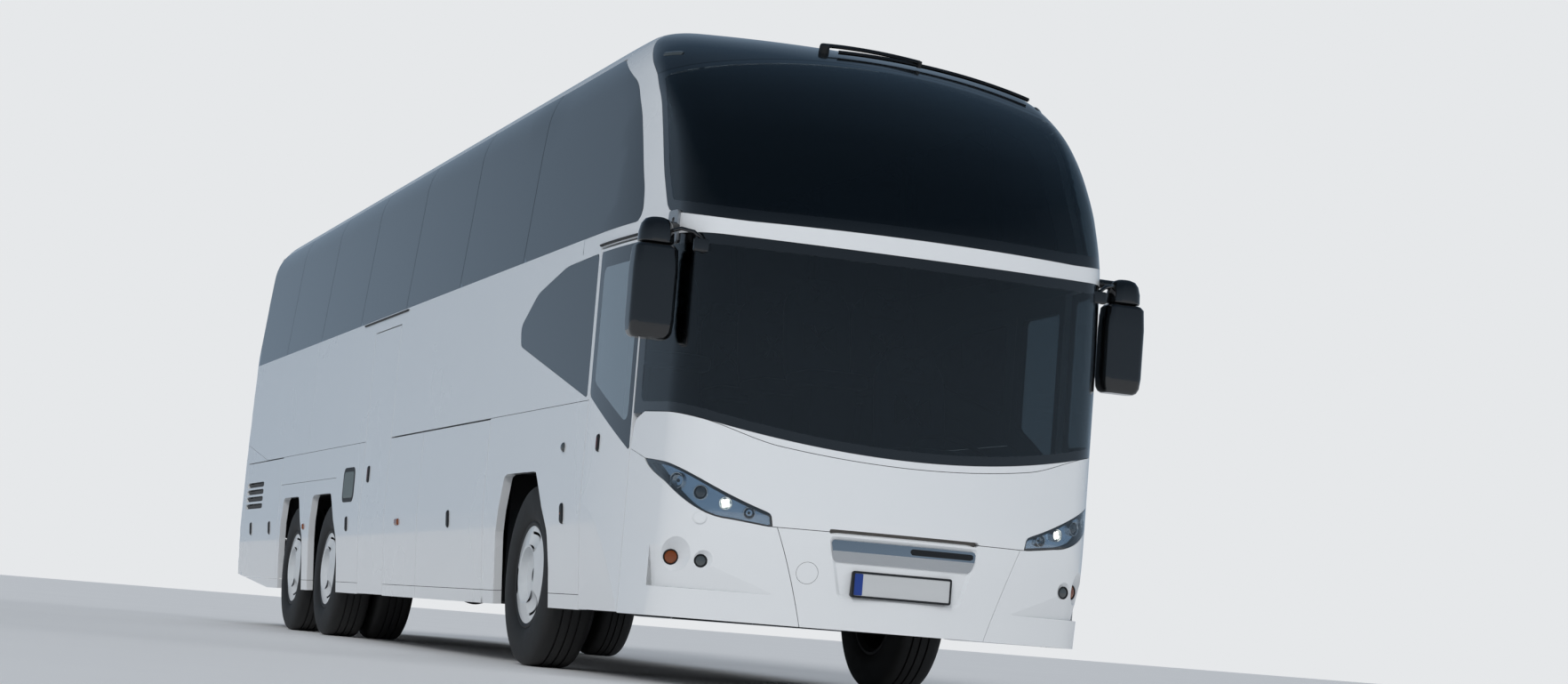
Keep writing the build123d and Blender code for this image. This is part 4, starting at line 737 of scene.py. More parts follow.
@dataclass
class Piece:
    """Mesh under construction: points with split directions, faces and a finish number each."""

    name: str
    points: list[Array] = field(default_factory=list)
    normals: list[Array] = field(default_factory=list)
    faces: list[list[int]] = field(default_factory=list)
    slots: list[int] = field(default_factory=list)
    count: int = 0

    def add(self, points: Array, normals: Array, faces: Iterable[Sequence[int]], slot: int = 0) -> None:
        """Add faces over new points, wound so that each face looks along its points' directions."""
        base = self.count
        for face in faces:
            face = list(face)
            if across_face(points, face) @ normals[face].sum(axis=0) < 0:
                face.reverse()
            self.faces.append([base + i for i in face])
            self.slots.append(slot)
        self.points.append(points)
        self.normals.append(normals)
        self.count += len(points)

    def add_panel(self, patch: Patch, thickness: float, inset: float = 0.0,
                  slots: tuple[int, int] = (0, 0)) -> None:
        """Add a patch as a panel: outer face, inner face and the edge between them.

        Args:
            patch: Part of the body form.
            thickness: Thickness of the panel.
            inset: How far its outer face lies behind the patch.
            slots: Finish numbers of the outer face with the edge, and of the inner face.
        """
        if not patch.faces:
            LOG.warning("%s: an empty patch", self.name)
            return
        outer = patch.points - patch.normals * inset
        inner = patch.points - patch.normals * (inset + thickness)
        self.add(outer, patch.normals, patch.faces, slots[0])
        self.add(inner, -patch.normals, patch.faces, slots[1])
        self.add_walls(patch, outer, inner, 1.0, slots[0])

    def add_walls(self, patch: Patch, start: Array, end: Array, way: float, slot: int = 0) -> None:
        """Add flat faces along a patch's border between two sets of its points.

        Args:
            patch: Patch whose border is followed.
            start: The patch's points at one edge of the walls.
            end: The patch's points at the other edge.
            way: 1 for walls that face away from the patch, -1 for walls that face over it.
            slot: Finish number.
        """
        def quads() -> Iterable[tuple[Array, Array]]:
            for i, j, middle in patch.border():
                away = ((patch.points[i] + patch.points[j]) / 2 - middle) * way
                yield np.array([start[i], start[j], end[j], end[i]]), away
        self.add_quads(quads(), slot)

    def add_quads(self, quads: Iterable[tuple[Array, Array]], slot: int = 0) -> None:
        """Add flat four-sided faces, leaving out those without an area.

        Args:
            quads: Four corner points of each face and a way that it looks towards.
            slot: Finish number.
        """
        points, normals, faces = [], [], []
        for quad, way in quads:
            across = np.cross(quad[2] - quad[0], quad[3] - quad[1])
            if np.linalg.norm(across) < NO_AREA:
                continue
            across = unit(across)
            base = len(points)
            points += list(quad)
            normals += [-across if across @ way < 0 else across] * 4
            faces.append([base, base + 1, base + 2, base + 3])
        if faces:
            self.add(np.array(points), np.array(normals), faces, slot)

    def add_skin(self, patch: Patch, slot: int = 0) -> None:
        """Add a patch as a bare surface."""
        if patch.faces:
            self.add(patch.points, patch.normals, patch.faces, slot)

    def add_cap(self, loop: Array, way: Array, slot: int = 0) -> None:
        """Add one flat face over a closed loop."""
        self.add(loop, np.tile(unit(np.asarray(way, float)), (len(loop), 1)), [list(range(len(loop)))], slot)

    def add_band(self, first: Array, second: Array, slot: int = 0, out: Array | None = None) -> None:
        """Add flat quads between two closed loops, facing away from their middle or along a given way."""
        middle = (first.mean(axis=0) + second.mean(axis=0)) / 2
        corners = zip(first, np.roll(first, -1, axis=0), np.roll(second, -1, axis=0), second)
        quads = (np.array(quad) for quad in corners)
        self.add_quads(((quad, quad.mean(axis=0) - middle if out is None else out) for quad in quads), slot)

    def add_block(self, low: Sequence[float], high: Sequence[float], edge: float, slot: int = 0) -> None:
        """Add a box along the axes with its edges broken by a chamfer."""
        (x0, y0, z0), (x1, y1, z1) = low, high
        e, slant = edge, 0.9 * edge

        def ring(inset: float, z: float) -> Array:
            a, b, c, d = x0 + inset, x1 - inset, y0 + inset, y1 - inset
            flat = [(a + e, c), (b - e, c), (b, c + e), (b, d - e), (b - e, d), (a + e, d), (a, d - e),
                    (a, c + e)]
            return np.array([(x, y, z) for x, y in flat])
        rings = [ring(slant, z0), ring(0, z0 + e), ring(0, z1 - e), ring(slant, z1)]
        for first, second in zip(rings[:-1], rings[1:]):
            self.add_band(first, second, slot)
        self.add_cap(rings[0], (0, 0, -1), slot)
        self.add_cap(rings[-1], (0, 0, 1), slot)

    def add_sweep(self, path: Array, section: Array, up: Sequence[float] = (0, 0, 1), slot: int = 0) -> None:
        """Add a bar of one cross-section along a path, with its ends closed.

        Args:
            path: Points of the path.
            section: Closed outline, as (across, up) from the path.
            up: Direction that the outline's second number follows.
            slot: Finish number.
        """
        ahead = unit(np.gradient(path, axis=0))
        across = unit(np.cross(ahead, np.asarray(up, float)))
        over = np.cross(across, ahead)
        rings = np.stack([place + section[:, :1] * a + section[:, 1:] * b
                          for place, a, b in zip(path, across, over)])
        self.add_lofted(rings, -ahead[0], ahead[-1], slot)

    def add_lofted(self, rings: Array, first: Sequence[float] = (0, 0, -1), last: Sequence[float] = (0, 0, 1),
                   slot: int = 0) -> None:
        """Add closed rings joined one after the other, with a flat cap at each end.

        Args:
            rings: The rings' points, as many in each.
            first: Way that the cap on the first ring looks.
            last: Way that the cap on the last ring looks.
            slot: Finish number.
        """
        self.add_skin(Patch.loft(rings), slot)
        self.add_cap(rings[0], first, slot)
        self.add_cap(rings[-1], last, slot)

    def build(self, finishes: Sequence[Finish], body: str = ROOT, replaces: Sequence[str] = (),
              slot: str | None = None) -> bpy.types.Object:
        """Make the Blender object, put it on its body and give it its finishes.

        Args:
            finishes: Finishes in the order of the face numbers.
            body: Body that the piece rides on.
            replaces: Frame nodes that the piece stands for.
            slot: Not used.

        Returns:
            The new object.
        """
        mesh = bpy.data.meshes.new(self.name)
        mesh.from_pydata(np.concatenate(self.points).tolist(), [], self.faces)
        mesh.polygons.foreach_set("material_index", self.slots)
        mesh.polygons.foreach_set("use_smooth", [True] * len(self.faces))
        for finish in finishes:
            mesh.materials.append(finish.material())
        mesh.normals_split_custom_set_from_vertices(np.concatenate(self.normals).tolist())
        mesh.update()
        made = bpy.data.objects.new(self.name, mesh)
        bpy.context.scene.collection.objects.link(made)
        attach(made, body)
        if replaces:
            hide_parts(*replaces)
        LOG.info("%s: %d faces on %s", self.name, len(self.faces), body)
        return made


def spaced(start: float, end: float, step: float, *keep: float) -> Array:
    """Rising places from start to end at about the step, with the kept values among them."""
    fixed = sorted({round(v, 6) for v in (start, end, *keep) if start <= v <= end})
    found = [fixed[0]]
    for a, b in zip(fixed[:-1], fixed[1:]):
        count = max(1, int(math.ceil((b - a) / step)))
        found += list(np.linspace(a, b, count + 1)[1:])
    return np.array(found)


# Outlines of the panels in side elevation, as (y, z, corner radius)
BAND = ((-5.575, BAND_Z, 0.070), (-5.535, 2.560, 0.300), (-5.290, 3.010, 0.500), (-5.120, 3.200, 0.400),
        (-4.560, COVE_Z, 0.200), (6.200, COVE_Z, 0.060), (6.320, BAND_Z, 0.060))
SCREEN = ((-6.700, 2.316, 0.0), (-6.300, 2.336, 0.0), (-5.880, 2.400, 0.100), (-5.775, 2.590, 0.300),
          (-5.547, 3.043, 0.400), (-5.388, 3.203, 0.300), (-5.000, 3.450, 0.500), (-4.480, 3.790, 0.0),
          (-6.700, 3.790, 0.0))
QUARTER = ((-4.930, 2.272, 0.020), (-4.300, 2.262, 0.900), (-3.720, 2.160, 0.400), (-3.385, 1.990, 0.060),
           (-3.425, 1.870, 0.050), (-4.930, WAIST_Z + 0.012, 0.020))
QUARTER_HOLE = ((-4.860, 2.180, 0.040), (-4.300, 2.170, 0.700), (-3.780, 2.085, 0.250),
                (-3.560, 1.970, 0.060), (-4.860, WAIST_Z + 0.170, 0.040))
DOOR_GLASS = ((-4.985, 1.490, 0.015), (-4.985, DOOR_TOP_Z - 0.018, 0.015),
              (-5.655, DOOR_TOP_Z - 0.018, 0.015), (-5.655, 1.172, 0.015))
DOOR_WINDOW = ((-5.055, 1.560, 0.040), (-5.055, DOOR_TOP_Z - 0.110, 0.040),
               (-5.600, DOOR_TOP_Z - 0.110, 0.040), (-5.600, 1.310, 0.040))
MASK_SIDE = ((-6.700, 0.0, 0.0), (DOOR_FRONT_Y + 0.001, 0.0, 0.0), (DOOR_FRONT_Y + 0.001, 1.200, 0.0),
             (-5.705, 1.330, 0.060), (-5.900, 1.402, 0.120), (-6.700, 1.402, 0.0))
# Heights on the middle plane and at the side of the arcs under the belt, under the fascia and over the mask
BELT = (2.235, 2.285)
SCREEN_TOP = (3.385, 3.130)
MASK_TOP = (1.205, 1.425)
# Stations of the seams between the side panes
WINDOW_SEAMS = (-3.300, -1.700, -0.100, 1.500, 3.100, 4.700)
# Wheel arches: axle, offsets ahead and behind at skirt, hub, middle and top
ARCH_HEIGHTS = (SKIRT_Z - 0.060, 0.560, 0.760, 1.108)
ARCH_RADII = (0.0, 0.0, 0.150, 0.040)
ARCHES = (
    (AXLES["front"], (-0.560, -0.550, -0.505, -0.200), (0.500, 0.645, 0.652, 0.660)),
    (AXLES["drive"], (-0.552, -0.545, -0.500, -0.195), (0.560, 0.648, 0.652, 0.656)),
    (AXLES["tag"], (-0.560, -0.552, -0.535, -0.285), (0.415, 0.512, 0.545, 0.552)),
)
# Side and stations of each flap
FLAPS = {
    "luggage_flap_right_front": (Side.RIGHT, -2.855, -1.045),
    "luggage_flap_right_rear": (Side.RIGHT, -1.045, 0.005),
    "luggage_flap_left_front": (Side.LEFT, -2.855, -1.045),
    "luggage_flap_left_rear": (Side.LEFT, -1.045, 0.765),
    "rear_flap_right": (Side.RIGHT, 4.340, 6.180),
    "rear_flap_left": (Side.LEFT, 4.340, 6.180),
}


def arch_outline(axle: float, ahead: Sequence[float], behind: Sequence[float]) -> Outline:
    """Opening over one wheel in side elevation."""
    front = [(axle + u, z, r) for u, z, r in zip(ahead, ARCH_HEIGHTS, ARCH_RADII)]
    back = [(axle + u, z, r) for u, z, r in zip(behind, ARCH_HEIGHTS[::-1], ARCH_RADII[::-1])]
    return front + back


def chamfer(p: Array) -> Array:
    """Zone above the lower edge of the tail, which rises from one station to another."""
    start, end, rise = 4.8, REAR_Y - 0.060, 0.110
    return p[:, 2] - (SKIRT_Z + rise * np.clip((p[:, 1] - start) / (end - start), 0, 1))


def above(line: Sequence[Sequence[float]]) -> Zone:
    """Everything above a line of (x, z) points in front elevation, the same on both sides."""
    xs, zs = np.array(line).T
    return lambda p: p[:, 2] - np.interp(np.abs(p[:, 0]), xs, zs)


# Outline of the right and left headlamp, as (x, z)
LAMP_LINE = np.concatenate([np.array([[0.690, 0.817]]),
                            arc_through((0.894, 0.842), (1.110, 0.930), (1.212, 1.130)),
                            arc_through((1.212, 1.130), (0.988, 1.002), (0.702, 0.884))[1:]])


class FrontEnd:
    """Mask, bumper, both windscreens, fascia and the hoop round the upper screen."""

    # Gaps round screens and lamps; print along the lower screen's top, foot and sides, and on the upper one
    SCREEN_GAP, LAMP_GAP = 0.002, 0.0012
    LOWER_PRINT, UPPER_PRINT = (0.055, 0.050, 0.075), (0.060, 0.030)
    # Cowl strip: height on the middle plane, half width, and the run over which it thins out
    COWL_DROP, COWL_START, COWL_RUN = 0.036, 1.060, 0.380
    # Height of the joint between mask and bumper, through the lamps and up to the door
    SPLIT = ((0.0, 0.820), (0.690, 0.820), (0.702, 0.850), (0.900, 0.900), (1.110, 0.975), (1.212, 1.130),
             (1.300, 1.330))
    BUMPER_SEAM = ((0.668, 0.822), (0.598, 0.640), (0.500, 0.330))
    BUMPER_SHELL, FIELD_SHELL = 0.028, 0.030
    SLOT, SLOT_DEPTH, SLOT_FLOOR = box(-0.410, 0.810, 0.410, 0.834, 0.008), 0.026, 0.004
    # Sunk field round bar and plate, the bar with its crease and dark insert, and the plate
    FIELD = ((-0.410, 0.800, 0.014), (0.410, 0.800, 0.014), (0.332, 0.498, 0.014), (-0.332, 0.498, 0.014))
    FIELD_DEPTH, FIELD_BEVEL = 0.011, 0.016
    BAR = ((-0.396, 0.784, 0.010), (0.396, 0.784, 0.010), (0.374, 0.677, 0.024), (-0.374, 0.677, 0.024))
    BAR_CREASE_Z, BAR_PROUD, BAR_FALL, BAR_HALF = 0.731, 0.009, 0.011, 0.050
    BAR_INSERT = ((0.020, 0.741, 0.006), (0.376, 0.741, 0.006), (0.380, 0.771, 0.006), (0.020, 0.771, 0.006))
    PLATE_HALF, PLATE_Z, PLATE_FRAME, PLATE_END = (0.260, 0.055), 0.573, 0.009, 0.046
    SCOOP, SCOOP_TURN = ((0.640, 0.486, 0.0), (1.192, 0.694, 0.0), (1.192, 0.486, 0.0)), math.radians(9.0)
    # Place across, height and radius of each fog lamp, and whether it is orange; then the two round covers
    FOGS = ((1.138, 0.636, 0.040, True), (1.004, 0.626, 0.034, False))
    TOW_COVER, TOW_GAP, WASHER = (-0.497, 0.608, 0.055), 0.0018, (-1.030, 0.836, 0.031)
    # How far the lower pane runs behind the mask; sheets of the tow cover, bar, insert and washer cap
    PANE_LAP, COVER_SHELL, BAR_SHELL, INSERT_SHELL, CAP_SHELL = 0.010, 0.010, 0.014, 0.003, 0.008
    INSERT_PROUD, PLATE_PROUD = 0.0012, 0.004
    # Corner radius and distance back of the loops round the plate, and how far the frame's edge stands out
    OUTER, INNER, SHEET = (0.010, 0.0), (0.006, 0.0), (0.006, 0.003)
    EDGE, BACK, EDGE_OUT, END_IN, END_LOOP = (0.012, 0.004), (0.012, 0.036), 0.002, 0.001, (0.005, 0.0026)
    # Washer cap: width of its rounded edge, least height and rise, share of the radius and step of its grid
    CAP_EDGE, CAP_PROUD, CAP_RISE, CAP_REACH, CAP_STEP = 0.010, 0.002, 0.005, 1.3, 0.004

    def __init__(self) -> None:
        """Prepare the patches that the front panels are cut from."""
        # Rays by azimuth and height in degrees; the low ones are finer at lamps, slot, bar and scoops
        self.whole = Patch.cap(spaced(-104, 104, 1.0), spaced(-56, 90, 1.0))
        fine = [spaced(-53, 53, 0.7, 28, 46, -28, -46), spaced(28, 46, 0.3), spaced(-46, -28, 0.3),
                spaced(-18, -12, 0.3)]
        heights = [spaced(-56, -12, 0.6), spaced(-40, -33, 0.28)]
        self.low = Patch.cap(*(np.unique(np.concatenate(rows).round(5)) for rows in (fine, heights)))
        self.screen_zone = in_side(SCREEN)
        self.mask_zone = in_side(MASK_SIDE)
        self.ahead = beyond(1, DOOR_FRONT_Y, -1.0)
        self.belt, self.screen_top, self.mask_top = (over_arc(*arc) for arc in (BELT, SCREEN_TOP, MASK_TOP))
        self.split = above(self.SPLIT)
        self.slot = in_front(self.SLOT, mirror=False)

    def windscreens(self) -> None:
        """Lower and upper screen with the black print along their edges."""
        top, foot, side = self.LOWER_PRINT
        mask = lambda p: np.minimum(self.mask_zone(p), -self.mask_top(p))
        lower = self.whole.clip(self.ahead, over_arc(*MASK_TOP, -self.PANE_LAP),
                                outside(self.belt, self.SCREEN_GAP), outside(mask, self.SCREEN_GAP))
        self.screen("lower", lower, lambda p: np.minimum.reduce([
            -self.belt(p) - top, self.mask_top(p) - foot, -(p[:, 1] - DOOR_FRONT_Y) - side]))
        rim, brow = self.UPPER_PRINT
        upper = self.whole.clip(lambda p: self.screen_zone(p) - self.SCREEN_GAP,
                                outside(self.screen_top, self.SCREEN_GAP))
        self.screen("upper", upper,
                    lambda p: np.minimum(self.screen_zone(p) - rim, -self.screen_top(p) - brow))

    def screen(self, place: str, pane: Patch, clear: Zone) -> None:
        """One windscreen: clear glass inside a zone and black print outside it."""
        piece = Piece(f"windscreen_{place}_pane")
        piece.add_panel(pane.clip(clear), GLASS)
        piece.add_panel(pane.clip(outside(clear)), GLASS, slots=(1, 1))
        piece.build((SCREEN_GLASS, FRIT), replaces=[f"windscreen_{place}"], slot="clear_glass")

    def frame_panels(self) -> None:
        """Fascia over the upper screen and the hoop round it."""
        piece = Piece("front_fascia_panel")
        fascia = self.whole.clip(lambda p: self.screen_zone(p) - self.SCREEN_GAP, self.screen_top)
        piece.add_panel(fascia, WALL)
        piece.build((GLOSS_BLACK,), replaces=["front_fascia"], slot="black_gloss")
        hoop = self.whole.clip(outside(self.screen_zone), beyond(1, HOOP_REAR_Y, -1.0))
        piece = Piece("front_hoop_panel")
        piece.add_panel(hoop.clip(self.ahead, self.belt), WALL, slots=(0, 1))
        side = hoop.clip(beyond(1, DOOR_FRONT_Y), beyond(2, HOOP_FOOT_Z), outside(in_side(BAND), GLASS_GAP))
        piece.add_panel(side, WALL, slots=(0, 1))
        piece.build((ENAMEL, LINING), replaces=["front_hoop"], slot="coach_paint")

    def cowl_line(self, p: Array) -> Array:
        """Height above the seam of the screen's cowl, which runs out into the mask's upper edge."""
        ease = np.clip((self.COWL_START - np.abs(p[:, 0])) / self.COWL_RUN, 0, 1)
        return self.mask_top(p) + self.COWL_DROP * ease * ease * (3 - 2 * ease)

    def mask(self) -> None:
        """Mask with its cowl strip, the lamp openings and the slot's upper half."""
        base = self.low.clip(self.mask_zone, outside(self.mask_top))
        piece = Piece("front_mask_panel")
        strip = base.clip(lambda p: self.cowl_line(p) - JOINT, lambda p: self.COWL_START - np.abs(p[:, 0]))
        piece.add_panel(strip, WALL, slots=(0, 1))
        panel = base.clip(lambda p: -self.cowl_line(p) - JOINT, lambda p: self.split(p) - JOINT,
                          outside(in_line(LAMP_LINE), self.LAMP_GAP), outside(self.slot))
        piece.add_panel(panel, WALL, slots=(0, 1))
        piece.build((ENAMEL, MATT_BLACK), replaces=["front_mask"], slot="coach_paint")

    def scoop_depth(self, p: Array) -> Array:
        """How far the recess over the lower lip lies behind the skin."""
        (x0, z0, _), (x1, z1, _), _ = self.SCOOP
        run = math.hypot(x1 - x0, z1 - z0)
        below = ((np.abs(p[:, 0]) - x0) * (z1 - z0) - (p[:, 2] - z0) * (x1 - x0)) / run
        return -np.maximum(below, 0.0) * math.tan(self.SCOOP_TURN)

    def bumper(self) -> None:
        """Bumper: middle panel with the grille field, side panels with scoops and fog lamp dishes."""
        seam = arc_through(*self.BUMPER_SEAM)[::-1]
        beside = lambda p: np.abs(p[:, 0]) - np.interp(p[:, 2], seam[:, 1], seam[:, 0])
        base = self.low.clip(self.mask_zone, outside(self.split, JOINT), beyond(2, SKIRT_Z),
                             outside(in_line(LAMP_LINE), self.LAMP_GAP), outside(self.slot))
        piece = Piece("front_bumper_panel")
        field, bed = (in_front(self.FIELD, margin, mirror=False) for margin in (0.0, -self.FIELD_BEVEL))
        sunk = lambda p: -self.FIELD_DEPTH * np.clip(field(p) / self.FIELD_BEVEL, 0, 1)
        middle = base.clip(outside(beside, JOINT), outside(field))
        x, z, radius = self.TOW_COVER
        piece.add_panel(middle.clip(outside(in_circle(x, z, radius))), WALL, slots=(0, 1))
        piece.add_panel(middle.clip(in_circle(x, z, radius - self.TOW_GAP)), self.COVER_SHELL,
                        slots=(0, 1))
        piece.add_panel(base.clip(field, outside(bed)).pressed(sunk), self.FIELD_SHELL, slots=(0, 1))
        piece.add_panel(base.clip(bed), self.FIELD_SHELL, self.FIELD_DEPTH, slots=(0, 1))
        outer, scoop = base.clip(lambda p: beside(p) - JOINT), in_front(self.SCOOP)
        cut = outer.clip(scoop)
        surfaces = [outer.clip(outside(scoop)), cut.pressed(self.scoop_depth)]
        piece.add_walls(cut, cut.points, surfaces[1].points, -1.0)
        for x, z, radius, _ in self.FOGS:
            for sign in (-1, 1):
                dish = FogDish(sign * x, z, radius)
                surfaces = [made for surface in surfaces for made in dish.cut(surface)]
        for surface in surfaces:
            piece.add_panel(surface, self.BUMPER_SHELL, slots=(0, 1))
        floor = self.low.clip(in_front(self.SLOT, self.SLOT_FLOOR, mirror=False))
        piece.add_panel(floor, self.SLOT_FLOOR, self.SLOT_DEPTH, slots=(2, 1))
        piece.build((ENAMEL, MATT_BLACK, SLOT_GREY), replaces=["front_bumper"], slot="coach_paint")

    def bright_bar(self) -> None:
        """Plated bar with a crease along its middle and a dark insert in its upper half."""
        patch = Patch.cap(spaced(-16, 16, 0.5), spaced(-38, -29, 0.25)).clip(in_front(self.BAR, mirror=False))
        proud = lambda p: self.BAR_PROUD - self.BAR_FALL * np.abs(p[:, 2] - self.BAR_CREASE_Z) / self.BAR_HALF
        piece = Piece("front_bright_bar")
        for sign in (1.0, -1.0):
            piece.add_panel(patch.clip(beyond(2, self.BAR_CREASE_Z, sign)).pressed(proud), self.BAR_SHELL)
        insert = patch.clip(in_front(self.BAR_INSERT, mirror=False))
        insert = insert.pressed(lambda p: proud(p) + self.INSERT_PROUD)
        piece.add_panel(insert, self.INSERT_SHELL, slots=(1, 1))
        piece.build((CHROME, MATT_BLACK), slot="black_gloss")

    def plate(self) -> None:
        """Blank plate in a dark frame, with a plain coloured end."""
        half_x, half_z = self.PLATE_HALF
        rim, ahead = self.PLATE_FRAME, np.array([0.0, -1.0, 0.0])
        y = front_point(0.0, self.PLATE_Z)[0][1] - self.PLATE_PROUD

        def loop(grow: float, radius: float, back: float, end: float | None = None) -> Array:
            wide, tall = half_x + grow, half_z + grow
            end = wide if end is None else end
            line = rounded(box(-wide, self.PLATE_Z - tall, end, self.PLATE_Z + tall, radius))
            return np.array([(u, y + back, v) for u, v in line])
        piece = Piece("front_plate")
        outer, inner, sheet = loop(rim, *self.OUTER), loop(0.0, *self.INNER), loop(0.0, *self.SHEET)
        edge = loop(rim + self.EDGE_OUT, *self.EDGE)
        piece.add_band(edge, outer)
        piece.add_band(edge, loop(rim, *self.BACK))
        piece.add_band(outer, inner, out=ahead)
        piece.add_band(inner, sheet)
        piece.add_cap(sheet, ahead, 1)
        piece.add_cap(loop(-self.END_IN, *self.END_LOOP, self.PLATE_END - half_x), ahead, 2)
        piece.build((MATT_BLACK, PLATE, PLATE_END), slot="dark_plastic")

    def washer(self) -> None:
        """Round cap of the lamp washer on the right-hand corner."""
        x, z, radius = self.WASHER
        zone = in_circle(x, z, radius)

        def domed(p: Array) -> Array:
            part = np.clip(zone(p) / self.CAP_EDGE, 0, 1)
            return self.CAP_PROUD + self.CAP_RISE * np.sqrt(part * (2 - part))
        piece = Piece("lamp_washer_cap")
        patch = Patch.around(x, z, radius * self.CAP_REACH, self.CAP_STEP).clip(zone)
        piece.add_panel(patch.pressed(domed), self.CAP_SHELL)
        piece.build((ENAMEL,), slot="coach_paint")

    def build(self) -> None:
        """Make all the front panels."""
        self.windscreens()
        self.frame_panels()
        self.mask()
        self.bumper()
        self.bright_bar()
        self.plate()
        self.washer()


class FogDish:
    """Flared dish round one fog lamp, which faces further ahead than the curved skin does."""

    # Share of the skin's turn that the lamp follows, slope of the flared wall, how far the face lies back,
    # the distance from the axis at which the dish surely ends, and how far below it counts from there
    TURN, FLARE, FIT, REACH, BELOW = 0.55, 0.95, 0.003, 0.3, 1e3

    def __init__(self, x: float, z: float, radius: float) -> None:
        """Work out the lamp's axis and the foremost place of its rim.

        Args:
            x: Place of the lamp across the coach.
            z: Height of the lamp.
            radius: Outer radius of the lamp.
        """
        point, normal = front_point(x, z)
        turn = math.atan2(normal[0], -normal[1]) * self.TURN
        self.axis = np.array([math.sin(turn), -math.cos(turn), 0.0])
        across = np.array([math.cos(turn), math.sin(turn), 0.0]) * math.copysign(1.0, x)
        edge = front_point(x + across[0] * radius, z)[0]
        self.radius = radius
        self.centre = point + self.axis * float((edge - point) @ self.axis - self.FIT)

    def rise(self, p: Array) -> tuple[Array, Array]:
        """Height of points over the lamp's face and their distance from its axis."""
        gap = p - self.centre
        high = gap @ self.axis
        return high, np.linalg.norm(gap - high[:, None] * self.axis, axis=1)

    def over(self, p: Array) -> Array:
        """How far points stand ahead of the dish's flared wall."""
        high, wide = self.rise(p)
        return high - np.maximum(wide - self.radius, 0.0) * self.FLARE - self.BELOW * (wide > self.REACH)

    def cut(self, surface: Patch) -> list[Patch]:
        """Split a surface into what stays and the part that becomes the dish."""
        if not surface.faces:
            return []
        ring = lambda p: self.rise(p)[1] - self.radius
        stays = surface.clip(outside(self.over), ring)
        dish = surface.clip(self.over, ring)
        made = [stays] if stays.faces else []
        if dish.faces:
            made.append(dish.moved(dish.points - self.over(dish.points)[:, None] * self.axis))
        return made


